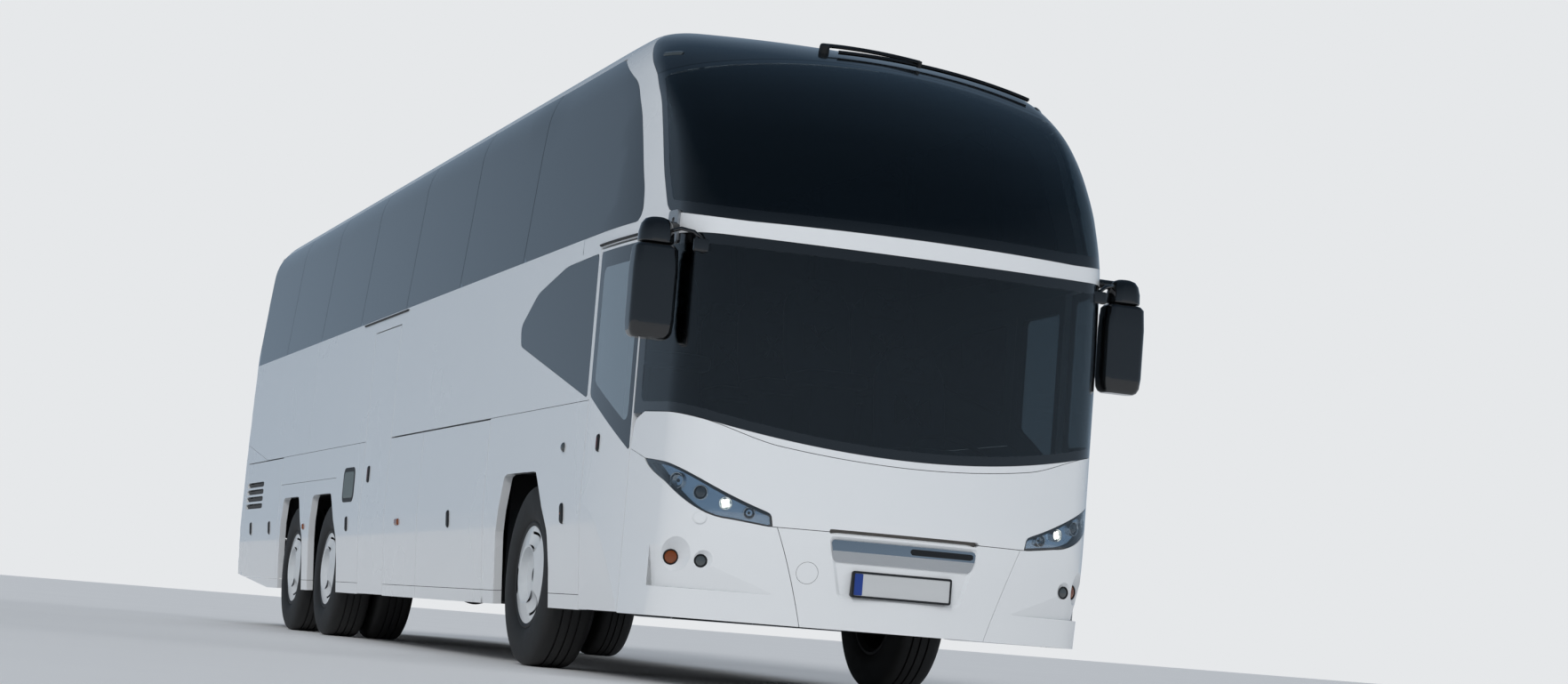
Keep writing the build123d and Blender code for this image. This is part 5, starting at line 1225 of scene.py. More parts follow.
class FrontLamps:
    """Both headlamps and the four fog lamps."""

    # Thickness of the lens, depth of the reflector, and width of the dark border at the sides and above
    LENS, FLOOR, BORDER, BROW = 0.004, 0.032, 0.007, 0.017
    # Place across, height, outer radius and kind of each lamp unit of one headlamp
    UNITS = ((1.142, 1.016, 0.042, "faceted"), (1.040, 0.963, 0.038, "projector"),
             (0.920, 0.918, 0.035, "lit"), (0.806, 0.880, 0.032, "faceted"))
    PETALS, ROUND, FACETS = 4, 48, 24
    # Sheet of the reflector, how far the border overlaps both, how far the lens stands back from its outline
    REFLECTOR_SHEET, BORDER_IN, BORDER_UNDER, BORDER_SIDE, LENS_GAP = 0.003, 0.006, 0.002, 0.004, 0.0006
    # Share of the skin's turn and rise that the units follow, and how far their rings lie behind the skin
    UNIT_TURN, UNIT_RISE, UNIT_IN = 0.85, 0.5, 0.009
    # Profiles as (out, radius over the outer one): bright ring, projector's collar and fog lamp's body
    RING = ((-0.030, 0.0), (-0.006, 0.0), (-0.003, -0.001), (-0.002, -0.003), (-0.003, -0.005),
            (-0.008, -0.007))
    COLLAR = ((-0.008, -0.007), (-0.014, -0.009), (-0.016, -0.010))
    FOG_BODY = ((-0.060, 0.0), (-0.001, 0.0), (0.001, -0.002), (0.001, -0.005), (-0.004, -0.007))
    # Turn of the first petal as a share, distance out, share of the radius, depth and own radius of each
    PETAL_PHASE, PETAL_OUT, PETAL_IN, PETAL_R = 0.35, 0.40, 0.014, 0.33

    def headlamp(self, side: Side) -> None:
        """Lens, dark border, reflector and the four lamp units on one side."""
        sign, zone = side.value, in_line(LAMP_LINE)
        low, high = sorted((sign * 19.0, sign * 50.0))
        patch = Patch.cap(spaced(low, high, 0.25), spaced(-34, -24, 0.25)).clip(zone)
        piece = Piece(f"headlamp_{side.label}_housing")
        piece.add_panel(patch, self.REFLECTOR_SHEET, self.FLOOR, slots=(0, 1))
        inner = in_line(LAMP_LINE, -self.BORDER)
        drop = in_line(LAMP_LINE - np.array([self.BORDER_SIDE, self.BROW]))
        border = patch.clip(lambda p: -np.minimum(inner(p), drop(p)))
        piece.add_panel(border, self.FLOOR - self.BORDER_IN, self.LENS + self.BORDER_UNDER, slots=(1, 1))
        for x, z, radius, kind in self.UNITS:
            point, normal = front_point(sign * x, z)
            turn = math.atan2(normal[0], -normal[1]) * self.UNIT_TURN
            axis = unit(np.array([math.sin(turn), -math.cos(turn), normal[2] * self.UNIT_RISE]))
            self.lamp_unit(piece, point - normal * self.UNIT_IN, axis, radius, kind)
        piece.build((REFLECTOR, MATT_BLACK, CHROME, CLEAR_FACETS, PROJECTOR, LIT), slot="lamp_glass",
                    replaces=["front_lamps"] if side is Side.RIGHT else [])
        piece = Piece(f"headlamp_{side.label}_lens")
        piece.add_panel(patch.clip(lambda p: zone(p) - self.LENS_GAP), self.LENS)
        piece.build((LENS,), slot="lamp_glass")

    def lamp_unit(self, piece: Piece, centre: Array, axis: Array, r: float, kind: str) -> None:
        """One round lamp unit: bright ring, cup and its glass.

        Args:
            piece: Piece that gets the faces.
            centre: Middle of the ring's face.
            axis: Way that the unit looks.
            r: Outer radius.
            kind: Which inside it has: "projector", "faceted" or "lit".
        """
        def turned(profile: Profile, steps: int, slot: int, hard: float = HARD) -> None:
            Turned(profile, steps).add_to(piece, centre, axis, slot, hard)
        turned(widened(self.RING, r), self.ROUND, 2)
        if kind == "projector":
            turned(widened(self.COLLAR, r), self.ROUND, 1)
            turned(dome(-0.016, 0.013, r - 0.010, 9), self.ROUND, 4)
            return
        cup = dome(-0.008, -0.020, r - 0.007, 7, 1.25)
        turned([*cup, (cup[-1][0], 0.0)], self.FACETS if kind == "faceted" else self.ROUND, 3, 12.0)
        if kind == "faceted":
            turned(dome(-0.027, 0.012, r * 0.24, 6), 16, 1)
            return
        flat, up = cross_axes(axis)
        for k in range(self.PETALS):
            turn = 2 * math.pi * (k + self.PETAL_PHASE) / self.PETALS
            out = (flat * math.cos(turn) + up * math.sin(turn)) * r * self.PETAL_OUT
            place = centre + out - axis * self.PETAL_IN
            Turned(dome(0.0, 0.006, r * self.PETAL_R, 6), 20).add_to(piece, place, axis, 5)

    def fog_lamps(self) -> None:
        """Four round lamps in the bumper: orange outside, clear inside."""
        piece = Piece("fog_lamps")
        for x, z, radius, amber in FrontEnd.FOGS:
            for sign in (-1, 1):
                dish = FogDish(sign * x, z, radius)
                r = radius - 0.001
                body, glass = widened(self.FOG_BODY, r), dome(-0.004, 0.005, r - 0.007, 8)
                for profile, slot in ((body, 0), (glass, 1 if amber else 2)):
                    Turned(profile, self.ROUND).add_to(piece, dish.centre, dish.axis, slot)
        piece.build((MATT_BLACK, AMBER, SMOKED_LENS), slot="dark_plastic")

    def build(self) -> None:
        """Make all the lamps of the front."""
        for side in Side:
            self.headlamp(side)
        self.fog_lamps()


def widened(profile: Profile, radius: float) -> Profile:
    """A profile whose second numbers are counted from a radius."""
    return [(out, radius + more) for out, more in profile]


def cross_axes(axis: Array) -> tuple[Array, Array]:
    """Two directions square to an axis, the second one as far up as it can be."""
    flat = np.cross(axis, (0.0, 0.0, 1.0))
    flat = unit(flat) if np.linalg.norm(flat) > TINY else np.array([1.0, 0.0, 0.0])
    return flat, np.cross(flat, axis)


class UpperFittings:
    """Mirrors with their brackets, the parked wiper and the marker lamps over the upper screen."""

    # Height, half width across, half length along and corner radius of the mirror head's sections
    HEAD = ((1.712, 0.088, 0.040, 0.030), (1.722, 0.102, 0.056, 0.036), (1.745, 0.112, 0.068, 0.040),
            (1.800, 0.117, 0.072, 0.040), (2.060, 0.118, 0.072, 0.040), (2.168, 0.112, 0.070, 0.044),
            (2.186, 0.098, 0.060, 0.044), (2.192, 0.074, 0.044, 0.036))
    # The same for the dome above the neck
    DOME = ((2.192, 0.070, 0.040, 0.036), (2.196, 0.088, 0.062, 0.050), (2.204, 0.092, 0.068, 0.060),
            (2.250, 0.090, 0.068, 0.060), (2.292, 0.080, 0.062, 0.056), (2.316, 0.062, 0.050, 0.046),
            (2.326, 0.036, 0.030, 0.028))
    # The same for the small housing at the end of the second arm
    END = ((2.166, 0.040, 0.010, 0.008), (2.170, 0.048, 0.016, 0.012), (2.226, 0.048, 0.016, 0.012),
           (2.230, 0.040, 0.010, 0.008))
    PLACE, END_PLACE = (1.322, -6.085), (1.112, -6.205)
    # Half width, edges and corner radius of the two glasses, how far back they lie, and their thickness
    GLASSES = ((0.098, 1.775, 1.905, 0.016), (0.098, 1.925, 2.150, 0.016))
    GLASS_BACK, GLASS_EDGE = 0.0745, 0.006
    # Place across, place along from the head's middle and height of points along both arms, and their radii
    MAIN_ARM = ((1.322, 0.010, 2.268), (1.275, 0.030, 2.296), (1.215, 0.070, 2.302), (1.165, 0.098, 2.302))
    HELPER_ARM = ((1.262, -0.028, 2.262), (1.215, -0.075, 2.276), (1.160, -0.112, 2.262),
                  (1.118, -0.120, 2.230))
    ARMS = ((MAIN_ARM, (0.030, 0.026)), (HELPER_ARM, (0.010, 0.010)))
    BRACKET, BRACKET_SLOT = box(-6.030, 2.222, -5.925, 2.392, 0.014), box(-5.993, 2.256, -5.966, 2.358, 0.010)
    # Lines of the wiper on the fascia, and their cross-sections as (across, up)
    BLADE = ((-0.160, 3.452), (0.420, 3.452), (0.980, 3.350))
    ARM = ((-0.219, 3.478), (0.060, 3.492), (0.330, 3.458))
    BLADE_SECTION = ((-0.011, 0.0), (-0.009, 0.006), (0.009, 0.006), (0.011, 0.0), (0.003, -0.004),
                     (0.002, -0.014), (-0.002, -0.014), (-0.003, -0.004))
    ARM_SECTION, UP = ((-0.014, -0.005), (0.014, -0.005), (0.011, 0.006), (-0.011, 0.006)), (0.0, -0.75, 0.65)
    # Pivot and joint, as (out, radius)
    PIVOT = ((0.0, 0.030), (0.036, 0.028), (0.046, 0.024), (0.050, 0.014), (0.050, 0.0))
    ARM_END = ((-0.020, 0.014), (0.016, 0.014), (0.018, 0.010), (0.018, 0.0))
    MARKER, MARKER_PLACE, MARKER_PROUD = box(1.043, 3.322, 1.133, 3.350, 0.012), (1.088, 3.336), 0.008
    # Reach and step of a marker's grid and its sheet; sheet and offset of the bracket and of its slot's floor
    MARKER_GRID, MARKER_SHEET = (0.060, 0.005), 0.010
    BRACKET_SHEET, SLOT_SHEET = (0.016, -0.014), (0.003, -0.003)
    # Distance of blade, arm and joint from the fascia; points along a bar and round arms, pivot and joint
    BLADE_OFF, ARM_OFF, END_OFF = 0.024, 0.040, 0.030
    ALONG, ARM_ROUND, PIVOT_ROUND, END_ROUND = 22, 20, 32, 24

    def sections(self, table: Sequence[Sequence[float]], x: float, y: float) -> Array:
        """Rounded rectangles stacked at the heights of a table."""
        return np.array([[(x + u, y + v, z) for u, v in rounded(box(-across, -along, across, along, r), 6)]
                         for z, across, along, r in table])

    def mirror(self, side: Side) -> None:
        """Head, dome, arms, bracket and glasses of one mirror."""
        sign, (x, y) = side.value, self.PLACE
        piece = Piece(f"mirror_{side.label}_head")
        for table in (self.HEAD, self.DOME):
            piece.add_lofted(self.sections(table, sign * x, y))
        for half, z0, z1, radius in self.GLASSES:
            line = rounded(box(-half, z0, half, z1, radius))
            back = np.array([(sign * x + u, y + self.GLASS_BACK, v) for u, v in line])
            piece.add_cap(back, (0, 1, 0), 1)
            piece.add_band(back - np.array([0.0, self.GLASS_EDGE, 0.0]), back)
        turn = np.linspace(0, 2 * math.pi, self.ARM_ROUND, endpoint=False)
        for arm, (wide, tall) in self.ARMS:
            path = np.array([(sign * u, y + v, w) for u, v, w in arm])
            piece.add_sweep(path, np.stack([wide * np.cos(turn), tall * np.sin(turn)], axis=1))
        piece.add_lofted(self.sections(self.END, sign * self.END_PLACE[0], self.END_PLACE[1]))
        piece.build((GLOSS_BLACK, MIRROR_GLASS), replaces=["mirrors"] if side is Side.RIGHT else [],
                    slot="black_gloss")
        patch = Patch.cap(spaced(sign * 48 - 16, sign * 48 + 16, 0.4), spaced(4, 18, 0.4))
        near, slot = patch.clip(in_side(self.BRACKET)), in_side(self.BRACKET_SLOT)
        piece = Piece(f"mirror_{side.label}_bracket")
        piece.add_panel(near.clip(outside(slot)), *self.BRACKET_SHEET)
        piece.add_panel(near.clip(slot), *self.SLOT_SHEET, slots=(1, 1))
        piece.build((SILVER, MATT_BLACK), slot="arm_steel")

    def wiper(self) -> None:
        """Parked wiper with its arm and pivot on the fascia."""
        piece = Piece("upper_wiper")
        for arc, section, off in ((self.BLADE, self.BLADE_SECTION, self.BLADE_OFF),
                                  (self.ARM, self.ARM_SECTION, self.ARM_OFF)):
            path = np.array([front_point(x, z, off)[0] for x, z in arc_through(*arc, self.ALONG)])
            piece.add_sweep(path, np.array(section), self.UP)
        point, normal = front_point(*self.ARM[0])
        Turned(self.PIVOT, self.PIVOT_ROUND).add_to(piece, point, normal)
        joint = front_point(*self.ARM[-1], self.END_OFF)[0]
        Turned(self.ARM_END, self.END_ROUND).add_to(piece, joint, normal)
        piece.build((WIPER_BLACK,), slot="dark_plastic")

    def markers(self) -> None:
        """Two small lamps at the ends of the fascia."""
        piece = Piece("fascia_markers")
        (x, z), zone = self.MARKER_PLACE, in_front(self.MARKER)
        domed = lambda p: self.MARKER_PROUD * np.sqrt(np.clip(zone(p) / self.MARKER[0][2], 0, 1))
        for sign in (-1, 1):
            patch = Patch.around(sign * x, z, *self.MARKER_GRID).clip(zone)
            piece.add_panel(patch.pressed(domed), self.MARKER_SHEET)
        piece.build((SMOKED_LENS,), slot="clear_glass")

    def build(self) -> None:
        """Make the upper fittings."""
        for side in Side:
            self.mirror(side)
        self.wiper()
        self.markers()


class Flank:
    """One side: wall, pillars, dark band, quarter pane and flaps."""

    # Height of the skirt's joint on the flaps, thickness of a flap and width of the frames behind the glass
    SKIRT_JOINT, FLAP, POST, SILL = 0.420, 0.038, 0.045, 0.070
    # Stations and heights of the engine's air inlet, its slots, what is left round each one, and its slats
    LOUVRES, SLOTS, SLOT_EDGE, SLAT = (5.235, 6.125, 1.030, 1.290), 4, 0.010, 0.003
    SLAT_IN, SLAT_SLOPE, BACK_IN, BEHIND = 0.006, 0.45, 0.040, 0.02
    # Stations and heights that hold the quarter pane and the driver's window
    QUARTER_REACH, WINDOW_REACH = (-4.96, -3.35, 1.46, 2.29), (-5.67, -4.97, 1.16, 2.28)
    # Cell of the walls and flaps along and up, and of frames and panes; half the slit between arch rows
    ALONG, UP, FLAP_UP, FRAME_CELL, PANE_CELL, SLIT = 0.06, 0.045, 0.022, 0.03, 0.02, 0.002
    # Band: cells along and up of its pillars and panes, and the stations of the panes' ends
    PILLAR_CELL, BAND_CELL, BAND_ENDS = (0.3, 0.12), (0.1, 0.05), (-5.58, 6.33)
    # Corner radius of an inlet slot, and how far a slat's edges and the dark back reach past it
    SLOT_CORNER, SLAT_LOW, SLAT_HIGH, BACK_OUT = 0.015, 0.004, 0.012, 0.01
    # Two points (y, z) of each panel joint and the stations that it runs between
    JOINTS = (
        ((0.0, 1.4665), (1.0, 1.4665), (-4.970, 5.155)), ((5.155, 1.4665), (6.290, 1.645), (5.155, 6.250)),
        ((0.0, 0.4200), (1.0, 0.4200), (-4.970, 6.250)), ((0.0, 1.2250), (1.0, 1.2250), (1.889, 4.330)),
        ((3.185, 0.0), (3.185, 1.0), (3.000, 3.300)),
    )

    def __init__(self, side: Side) -> None:
        """Remember the side and pick out its flaps."""
        self.side = side
        self.spans = {name: span for name, span in FLAPS.items() if span[0] is side}

    def stations(self, start: float, end: float, step: float = 0.12) -> Array:
        """Stations along the wall with every panel edge among them."""
        edges = [edge for _, *span in self.spans.values() for edge in span] + [*MID_DOOR]
        keep = [edge + off for edge in edges for off in (-GAP, GAP)] + [JOIN_Y]
        keep += [axle + reach for axle, ahead, behind in ARCHES for reach in (ahead[-1], behind[0])]
        return spaced(start, end, step, *keep)

    def wall(self) -> None:
        """Lower wall with its arches and openings, and the pillars behind the glass."""
        start = DOOR_REAR_Y if self.side is Side.RIGHT else DOOR_FRONT_Y
        top = ARCH_HEIGHTS[-1]
        heights = spaced(SKIRT_Z, BAND_Z, self.UP, FLAP_TOP_Z + GAP, CoachForm.TUCK_Z, MID_DOOR_TOP_Z + GAP,
                         HOOP_FOOT_Z, top - self.SLIT, top + self.SLIT)
        ys = spaced(start, REAR_SPLIT_Y, self.ALONG, *self.stations(start, REAR_SPLIT_Y, FAR))
        zones: list[Zone] = [chamfer, outside(in_side(QUARTER), GLASS_GAP), *self.off_arches()]
        for _, y0, y1 in self.spans.values():
            zones.append(self.apart(y0 - GAP, y1 + GAP, -1.0, FLAP_TOP_Z + GAP))
        if self.side is Side.RIGHT:
            zones.append(self.apart(MID_DOOR[0] - GAP, MID_DOOR[1] + GAP, -1.0, MID_DOOR_TOP_Z + GAP))
        else:
            zones.append(outside(in_side(DOOR_GLASS), GLASS_GAP))
        zones.append(self.apart(-FAR, HOOP_REAR_Y, HOOP_FOOT_Z, FAR))
        name = "side_wall_" + self.side.label
        piece = Piece(name + "_panel")
        for part in self.grooved([Patch.flank(self.side, ys, heights).clip(*zones)]):
            piece.add_panel(part, WALL, slots=(0, 1))
        self.pillars(piece)
        piece.build((ENAMEL, LINING, MATT_BLACK), replaces=[name], slot="coach_paint")

    def off_arches(self) -> list[Zone]:
        """Zones outside each wheel arch."""
        return [outside(in_side(arch_outline(*arch))) for arch in ARCHES]

    def grooved(self, patches: list[Patch]) -> list[Patch]:
        """Patches cut along the panel joints that run over them."""
        for (y0, z0), (y1, z1), (low, high) in self.JOINTS:
            reach = lambda p: np.minimum(p[:, 1] - low, high - p[:, 1])
            run = math.hypot(y1 - y0, z1 - z0)
            line = lambda p: ((p[:, 1] - y0) * (z1 - z0) - (p[:, 2] - z0) * (y1 - y0)) / run
            made = []
            for patch in patches:
                near = patch.clip(reach)
                if not near.faces:
                    made.append(patch)
                    continue
                parts = [near.clip(lambda p: line(p) - JOINT), near.clip(outside(line, JOINT))]
                made += [part for part in (patch.clip(outside(reach)), *parts) if part.faces]
            patches = made
        return patches

    def apart(self, y0: float, y1: float, z0: float, z1: float) -> Zone:
        """Everything outside a rectangle of the side elevation."""
        def value(p: Array) -> Array:
            return np.maximum.reduce([y0 - p[:, 1], p[:, 1] - y1, z0 - p[:, 2], p[:, 2] - z1])
        return value

    def held(self, reach: Sequence[float], step: float) -> Patch:
        """Grid over a rectangle (y0, y1, z0, z1) of this side."""
        y0, y1, z0, z1 = reach
        return Patch.flank(self.side, spaced(y0, y1, step), spaced(z0, z1, step))

    def pillars(self, piece: Piece) -> None:
        """Frames behind the dark band, the quarter pane and the driver's window."""
        post, low, high = self.POST, BAND_Z + self.SILL, COVE_Z - self.SILL
        edges = [HOOP_REAR_Y - post, *WINDOW_SEAMS, REAR_SPLIT_Y - post]
        along, up = self.PILLAR_CELL
        keep = [edge + off for edge in edges for off in (-post, post)]
        ys = spaced(HOOP_REAR_Y, REAR_SPLIT_Y, along, *keep)
        band = Patch.flank(self.side, ys, spaced(BAND_Z, COVE_Z, up, low, high))
        band = band.clip(*(self.apart(y0 + post, y1 - post, low, high)
                           for y0, y1 in zip(edges[:-1], edges[1:])))
        quarter = self.held(self.QUARTER_REACH, self.FRAME_CELL)
        frames = [band, quarter.clip(in_side(QUARTER), outside(in_side(QUARTER_HOLE)))]
        if self.side is Side.LEFT:
            pane = self.held(self.WINDOW_REACH, self.FRAME_CELL)
            frames.append(pane.clip(in_side(DOOR_GLASS), outside(in_side(DOOR_WINDOW))))
        for patch in frames:
            piece.add_panel(patch, WALL - SEAT, SEAT, slots=(2, 1))

    def glass(self, piece: Piece) -> None:
        """Panes of the dark band, the quarter pane and the driver's window."""
        along, up = self.BAND_CELL
        ys = spaced(*self.BAND_ENDS, along, *[seam + off for seam in WINDOW_SEAMS for off in (-GAP, GAP)])
        grid = Patch.flank(self.side, ys, spaced(BAND_Z, COVE_Z, up)).clip(in_side(BAND))
        for a, b in zip((-FAR, *WINDOW_SEAMS), (*WINDOW_SEAMS, FAR)):
            piece.add_panel(grid.clip(beyond(1, a + GAP), beyond(1, b - GAP, -1.0)), GLASS)
        piece.add_panel(self.held(self.QUARTER_REACH, self.PANE_CELL).clip(in_side(QUARTER)), GLASS)
        if self.side is Side.LEFT:
            pane = self.held(self.WINDOW_REACH, self.PANE_CELL).clip(in_side(DOOR_GLASS))
            clear = in_side(DOOR_WINDOW)
            piece.add_panel(pane.clip(clear), GLASS, slots=(2, 2))
            piece.add_panel(pane.clip(outside(clear)), GLASS, slots=(1, 1))

    def flaps(self) -> None:
        """Flaps below the waist."""
        for name, (_, y0, y1) in self.spans.items():
            heights = spaced(SKIRT_Z, FLAP_TOP_Z - GAP, self.FLAP_UP, CoachForm.TUCK_Z)
            grid = Patch.flank(self.side, spaced(y0 + GAP, y1 - GAP, self.UP), heights)
            grid = grid.clip(chamfer, *self.off_arches())
            piece = Piece(name + "_panel")
            parts = [grid.clip(beyond(2, self.SKIRT_JOINT + sign * JOINT, sign)) for sign in (1.0, -1.0)]
            if name.startswith("rear"):
                parts = [self.louvred(piece, part) for part in parts]
            for part in parts:
                piece.add_panel(part, self.FLAP, slots=(0, 1))
            piece.build((ENAMEL, MATT_BLACK), body=name, replaces=[name], slot="coach_paint")

    def louvred(self, piece: Piece, patch: Patch) -> Patch:
        """Patch with the slots of the engine's air inlet cut out, and slats and a dark back in them."""
        y0, y1, z0, z1 = self.LOUVRES
        pitch, upper = (z1 - z0) / self.SLOTS, patch.points[:, 2].max() > z1
        wide = spaced(y0 - self.BEHIND, y1 + self.BEHIND, self.BAND_CELL[0])
        for k in range(self.SLOTS):
            low, high = z0 + pitch * k + self.SLOT_EDGE, z0 + pitch * (k + 1) - self.SLOT_EDGE
            patch = patch.clip(outside(in_side(box(y0, low, y1, high, self.SLOT_CORNER))))
            if upper:
                slat = Patch.flank(self.side, wide, np.array([low - self.SLAT_LOW, high - self.SLAT_HIGH]))
                sunk = self.SLAT_IN + self.SLAT_SLOPE * (high - slat.points[:, 2:])
                piece.add_panel(slat.moved(slat.points - slat.normals * sunk), self.SLAT, slots=(1, 1))
        if upper:
            back = Patch.flank(self.side, wide, np.array([z0 - self.BACK_OUT, z1 + self.BACK_OUT]))
            piece.add_panel(back, self.SLAT, self.BACK_IN, slots=(1, 1))
        return patch

    def build(self) -> None:
        """Make this side."""
        self.wall()
        self.flaps()


class Doors:
    """Glass of the front door; leaves, arms, posts and brackets stay as the frame has them."""

    # Distance of the grid from the leaf's edges and foot, and its cell
    EDGE, FOOT, CELL = 0.008, 0.005, 0.03

    def build(self) -> None:
        """Make the front door's pane."""
        leaf = Patch.flank(Side.RIGHT, spaced(DOOR_FRONT_Y + self.EDGE, DOOR_REAR_Y - self.EDGE, self.CELL),
                           spaced(SKIRT_Z + self.FOOT, DOOR_TOP_Z - GAP, self.CELL))
        pane = leaf.clip(in_side(DOOR_GLASS))
        clear = in_side(DOOR_WINDOW)
        piece = Piece("front_door_pane")
        piece.add_panel(pane.clip(clear), GLASS)
        piece.add_panel(pane.clip(outside(clear)), GLASS, slots=(1, 1))
        # The pane's pale blue-grey colour is a painted reflection of the sky
        piece.build((DOOR_PANE_PAINTED_SKY, FRIT), body="front_door", replaces=["front_door_glass"], slot="clear_glass")


class Fittings:
    """Handles, lamps, buttons, gutters and the tank flap on both sides."""

    # Corner radius, height over the skin, rounding width and finish number of a recessed handle
    RECESS = (0.026, 0.009, 0.012, 0)
    # Lift of every fitting off the skin, and its thickness
    LIFT, SHELL = 0.0012, 0.003
    # Body, with {} for the side's name; sides, (y0, y1, z0, z1), corner radius, height over the skin,
    # rounding width, finish number
    TABLE = (
        (ROOT, (-1,), (-4.645, -4.585, 0.803, 0.917), *RECESS),
        (ROOT, (-1,), (-4.625, -4.605, 0.850, 0.868), 0.004, 0.011, 0.004, 1),
        (ROOT, (-1,), (1.315, 1.375, 0.803, 0.917), *RECESS),
        ("luggage_flap_{}_front", (-1, 1), (-1.979, -1.919, 0.803, 0.917), *RECESS),
        ("rear_flap_{}", (-1, 1), (4.732, 4.792, 0.803, 0.917), *RECESS),
        ("rear_flap_{}", (-1, 1), (5.702, 5.762, 0.803, 0.917), *RECESS),
        ("luggage_flap_{}_rear", (-1, 1), (-0.487, -0.383, 0.832, 0.880), 0.012, 0.012, 0.010, 1),
        (ROOT, (-1, 1), (3.103, 3.150, 0.832, 0.880), 0.010, 0.012, 0.010, 1),
        (ROOT, (-1, 1), (-4.576, -4.522, 1.200, 1.254), 0.026, 0.014, 0.016, 2),
        ("front_door", (-1,), (-5.222, -5.176, 1.180, 1.274), 0.018, 0.008, 0.010, 0),
        ("front_door", (-1,), (-5.205, -5.193, 1.196, 1.258), 0.005, 0.010, 0.003, 3),
        ("mid_door", (-1,), (0.640, 0.712, 1.158, 1.282), 0.022, 0.008, 0.012, 0),
        ("mid_door", (-1,), (0.670, 0.684, 1.180, 1.260), 0.006, 0.010, 0.003, 3),
        (ROOT, (-1,), (1.165, 1.595, 1.026, 1.290), 0.070, 0.0012, 0.002, 0),
        (ROOT, (-1,), (1.190, 1.570, 1.051, 1.265), 0.055, 0.0024, 0.002, 4),
        (ROOT, (-1,), (-5.560, -4.950, 2.304, 2.320), 0.006, 0.012, 0.006, 0),
        (ROOT, (-1,), (-0.195, 1.315, 2.362, 2.378), 0.006, 0.012, 0.006, 0),
    )

    def build(self) -> None:
        """Make one piece for each body and side."""
        groups: dict[tuple[str, int], list[tuple]] = {}
        for body, signs, *rest in self.TABLE:
            for sign in signs:
                groups.setdefault((body.format(Side(sign).label), sign), []).append(rest)
        for (body, sign), items in groups.items():
            side = Side(sign)
            piece = Piece(f"{body}_fittings_{side.label}")
            for (y0, y1, z0, z1), radius, proud, soft, slot in items:
                zone = in_side(box(y0, z0, y1, z1, radius))
                step = max(self.SHELL, min(y1 - y0, z1 - z0) / 14)
                wide = max(step, (y1 - y0) / 60)
                patch = Patch.flank(side, spaced(y0, y1, wide), spaced(z0, z1, step)).clip(zone)
                lift = lambda p: self.LIFT + proud * np.sqrt(np.clip(zone(p) / soft, 0, 1))
                piece.add_panel(patch.pressed(lift), self.SHELL, slots=(slot, slot))
            piece.build((MATT_BLACK, AMBER, SMOKED_LENS, RED_LENS, TANK_GREY), body=body, slot="dark_plastic")


class Seats:
    """Seats with crowned, channelled cushions and head rests."""

    ROWS, PITCH, FIRST_Y = 12, 0.830, -3.900
    PLACES = (-0.955, -0.505, 0.505, 0.955)
    # Stations between which the middle stairs leave no room for seats on the right
    STAIRS = (-0.495, 1.235)
    DRIVER = (0.620, -5.150, 0.900)
    # Plinth: half width, height and edge
    PLINTH, PLINTH_Z, PLINTH_EDGE = 0.150, 0.385, 0.012
    # Place along and height of the middle, half sizes, turn, finish number, channels: seat, back, head rest
    UPRIGHT = math.radians(78.0)
    CUSHIONS = (((-0.005, 0.425), (0.215, 0.225, 0.060), 0.0, 0, 3),
                ((0.225, 0.690), (0.214, 0.320, 0.056), UPRIGHT, 0, 3),
                ((0.255, 0.960), (0.150, 0.105, 0.048), UPRIGHT, 1, 1))
    # Squareness in plan and in section, points round and across, depth and width of a channel, crown's rise
    SQUARE, COLUMNS, ROUND_ROWS, CHANNEL, CHANNEL_WIDE, CROWN = (0.42, 0.45), 28, 15, 0.10, 0.18, 0.12

    def cushion(self, piece: Piece, centre: Array, half: Sequence[float], turn: float, slot: int,
                channels: int) -> None:
        """A crowned closed form with stitched channels pressed into its wide face.

        Args:
            piece: Piece that gets the faces.
            centre: Middle of the cushion.
            half: Half its width, length and thickness.
            turn: Turn about the axis across the coach, in radians.
            slot: Finish number.
            channels: Number of channels.
        """
        lon = np.linspace(0, 2 * math.pi, self.COLUMNS, endpoint=False)
        lat = np.linspace(-math.pi / 2, math.pi / 2, self.ROUND_ROWS)[:, None]
        curve = lambda v, k: np.sign(v) * np.abs(v) ** k
        (plan, section), c, s = self.SQUARE, math.cos(turn), math.sin(turn)
        u, v = curve(np.cos(lon), plan), curve(np.sin(lon), plan)
        r, h = curve(np.cos(lat), section), curve(np.sin(lat), section)
        away = (np.mod(v * channels, 2.0) - 1.0) / self.CHANNEL_WIDE
        groove = 1 - self.CHANNEL * np.exp(-away ** 2) * np.abs(h)
        x, y = half[0] * u * r, half[1] * v * r
        z = half[2] * h * groove * (1 - self.CROWN + self.CROWN * (1 - u**2))
        piece.add_skin(Patch.loft(np.stack([x, y * c - z * s, y * s + z * c], axis=-1) + centre), slot)

    def seat(self, piece: Piece, x: float, y: float, z: float) -> None:
        """One seat standing on the floor at a place."""
        half = self.PLINTH
        piece.add_block((x - half, y - half, z), (x + half, y + half, z + self.PLINTH_Z), self.PLINTH_EDGE, 2)
        for (along, high), *rest in self.CUSHIONS:
            self.cushion(piece, np.array([x, y + along, z + high]), *rest)

    def build(self) -> None:
        """Make the passengers' seats and the driver's seat."""
        rows = [(x, self.FIRST_Y + self.PITCH * row, DECK_Z) for row in range(self.ROWS) for x in self.PLACES]
        rows = [place for place in rows if place[0] > 0 or not self.STAIRS[0] < place[1] < self.STAIRS[1]]
        for name, node, places in (("passenger_seat_rows", "passenger_seats", rows),
                                   ("driver_seat_cushions", "driver_seat", [self.DRIVER])):
            piece = Piece(name)
            for place in places:
                self.seat(piece, *place)
            made = piece.build((CLOTH, COVER, MATT_BLACK), replaces=[node], slot="seat_fabric")


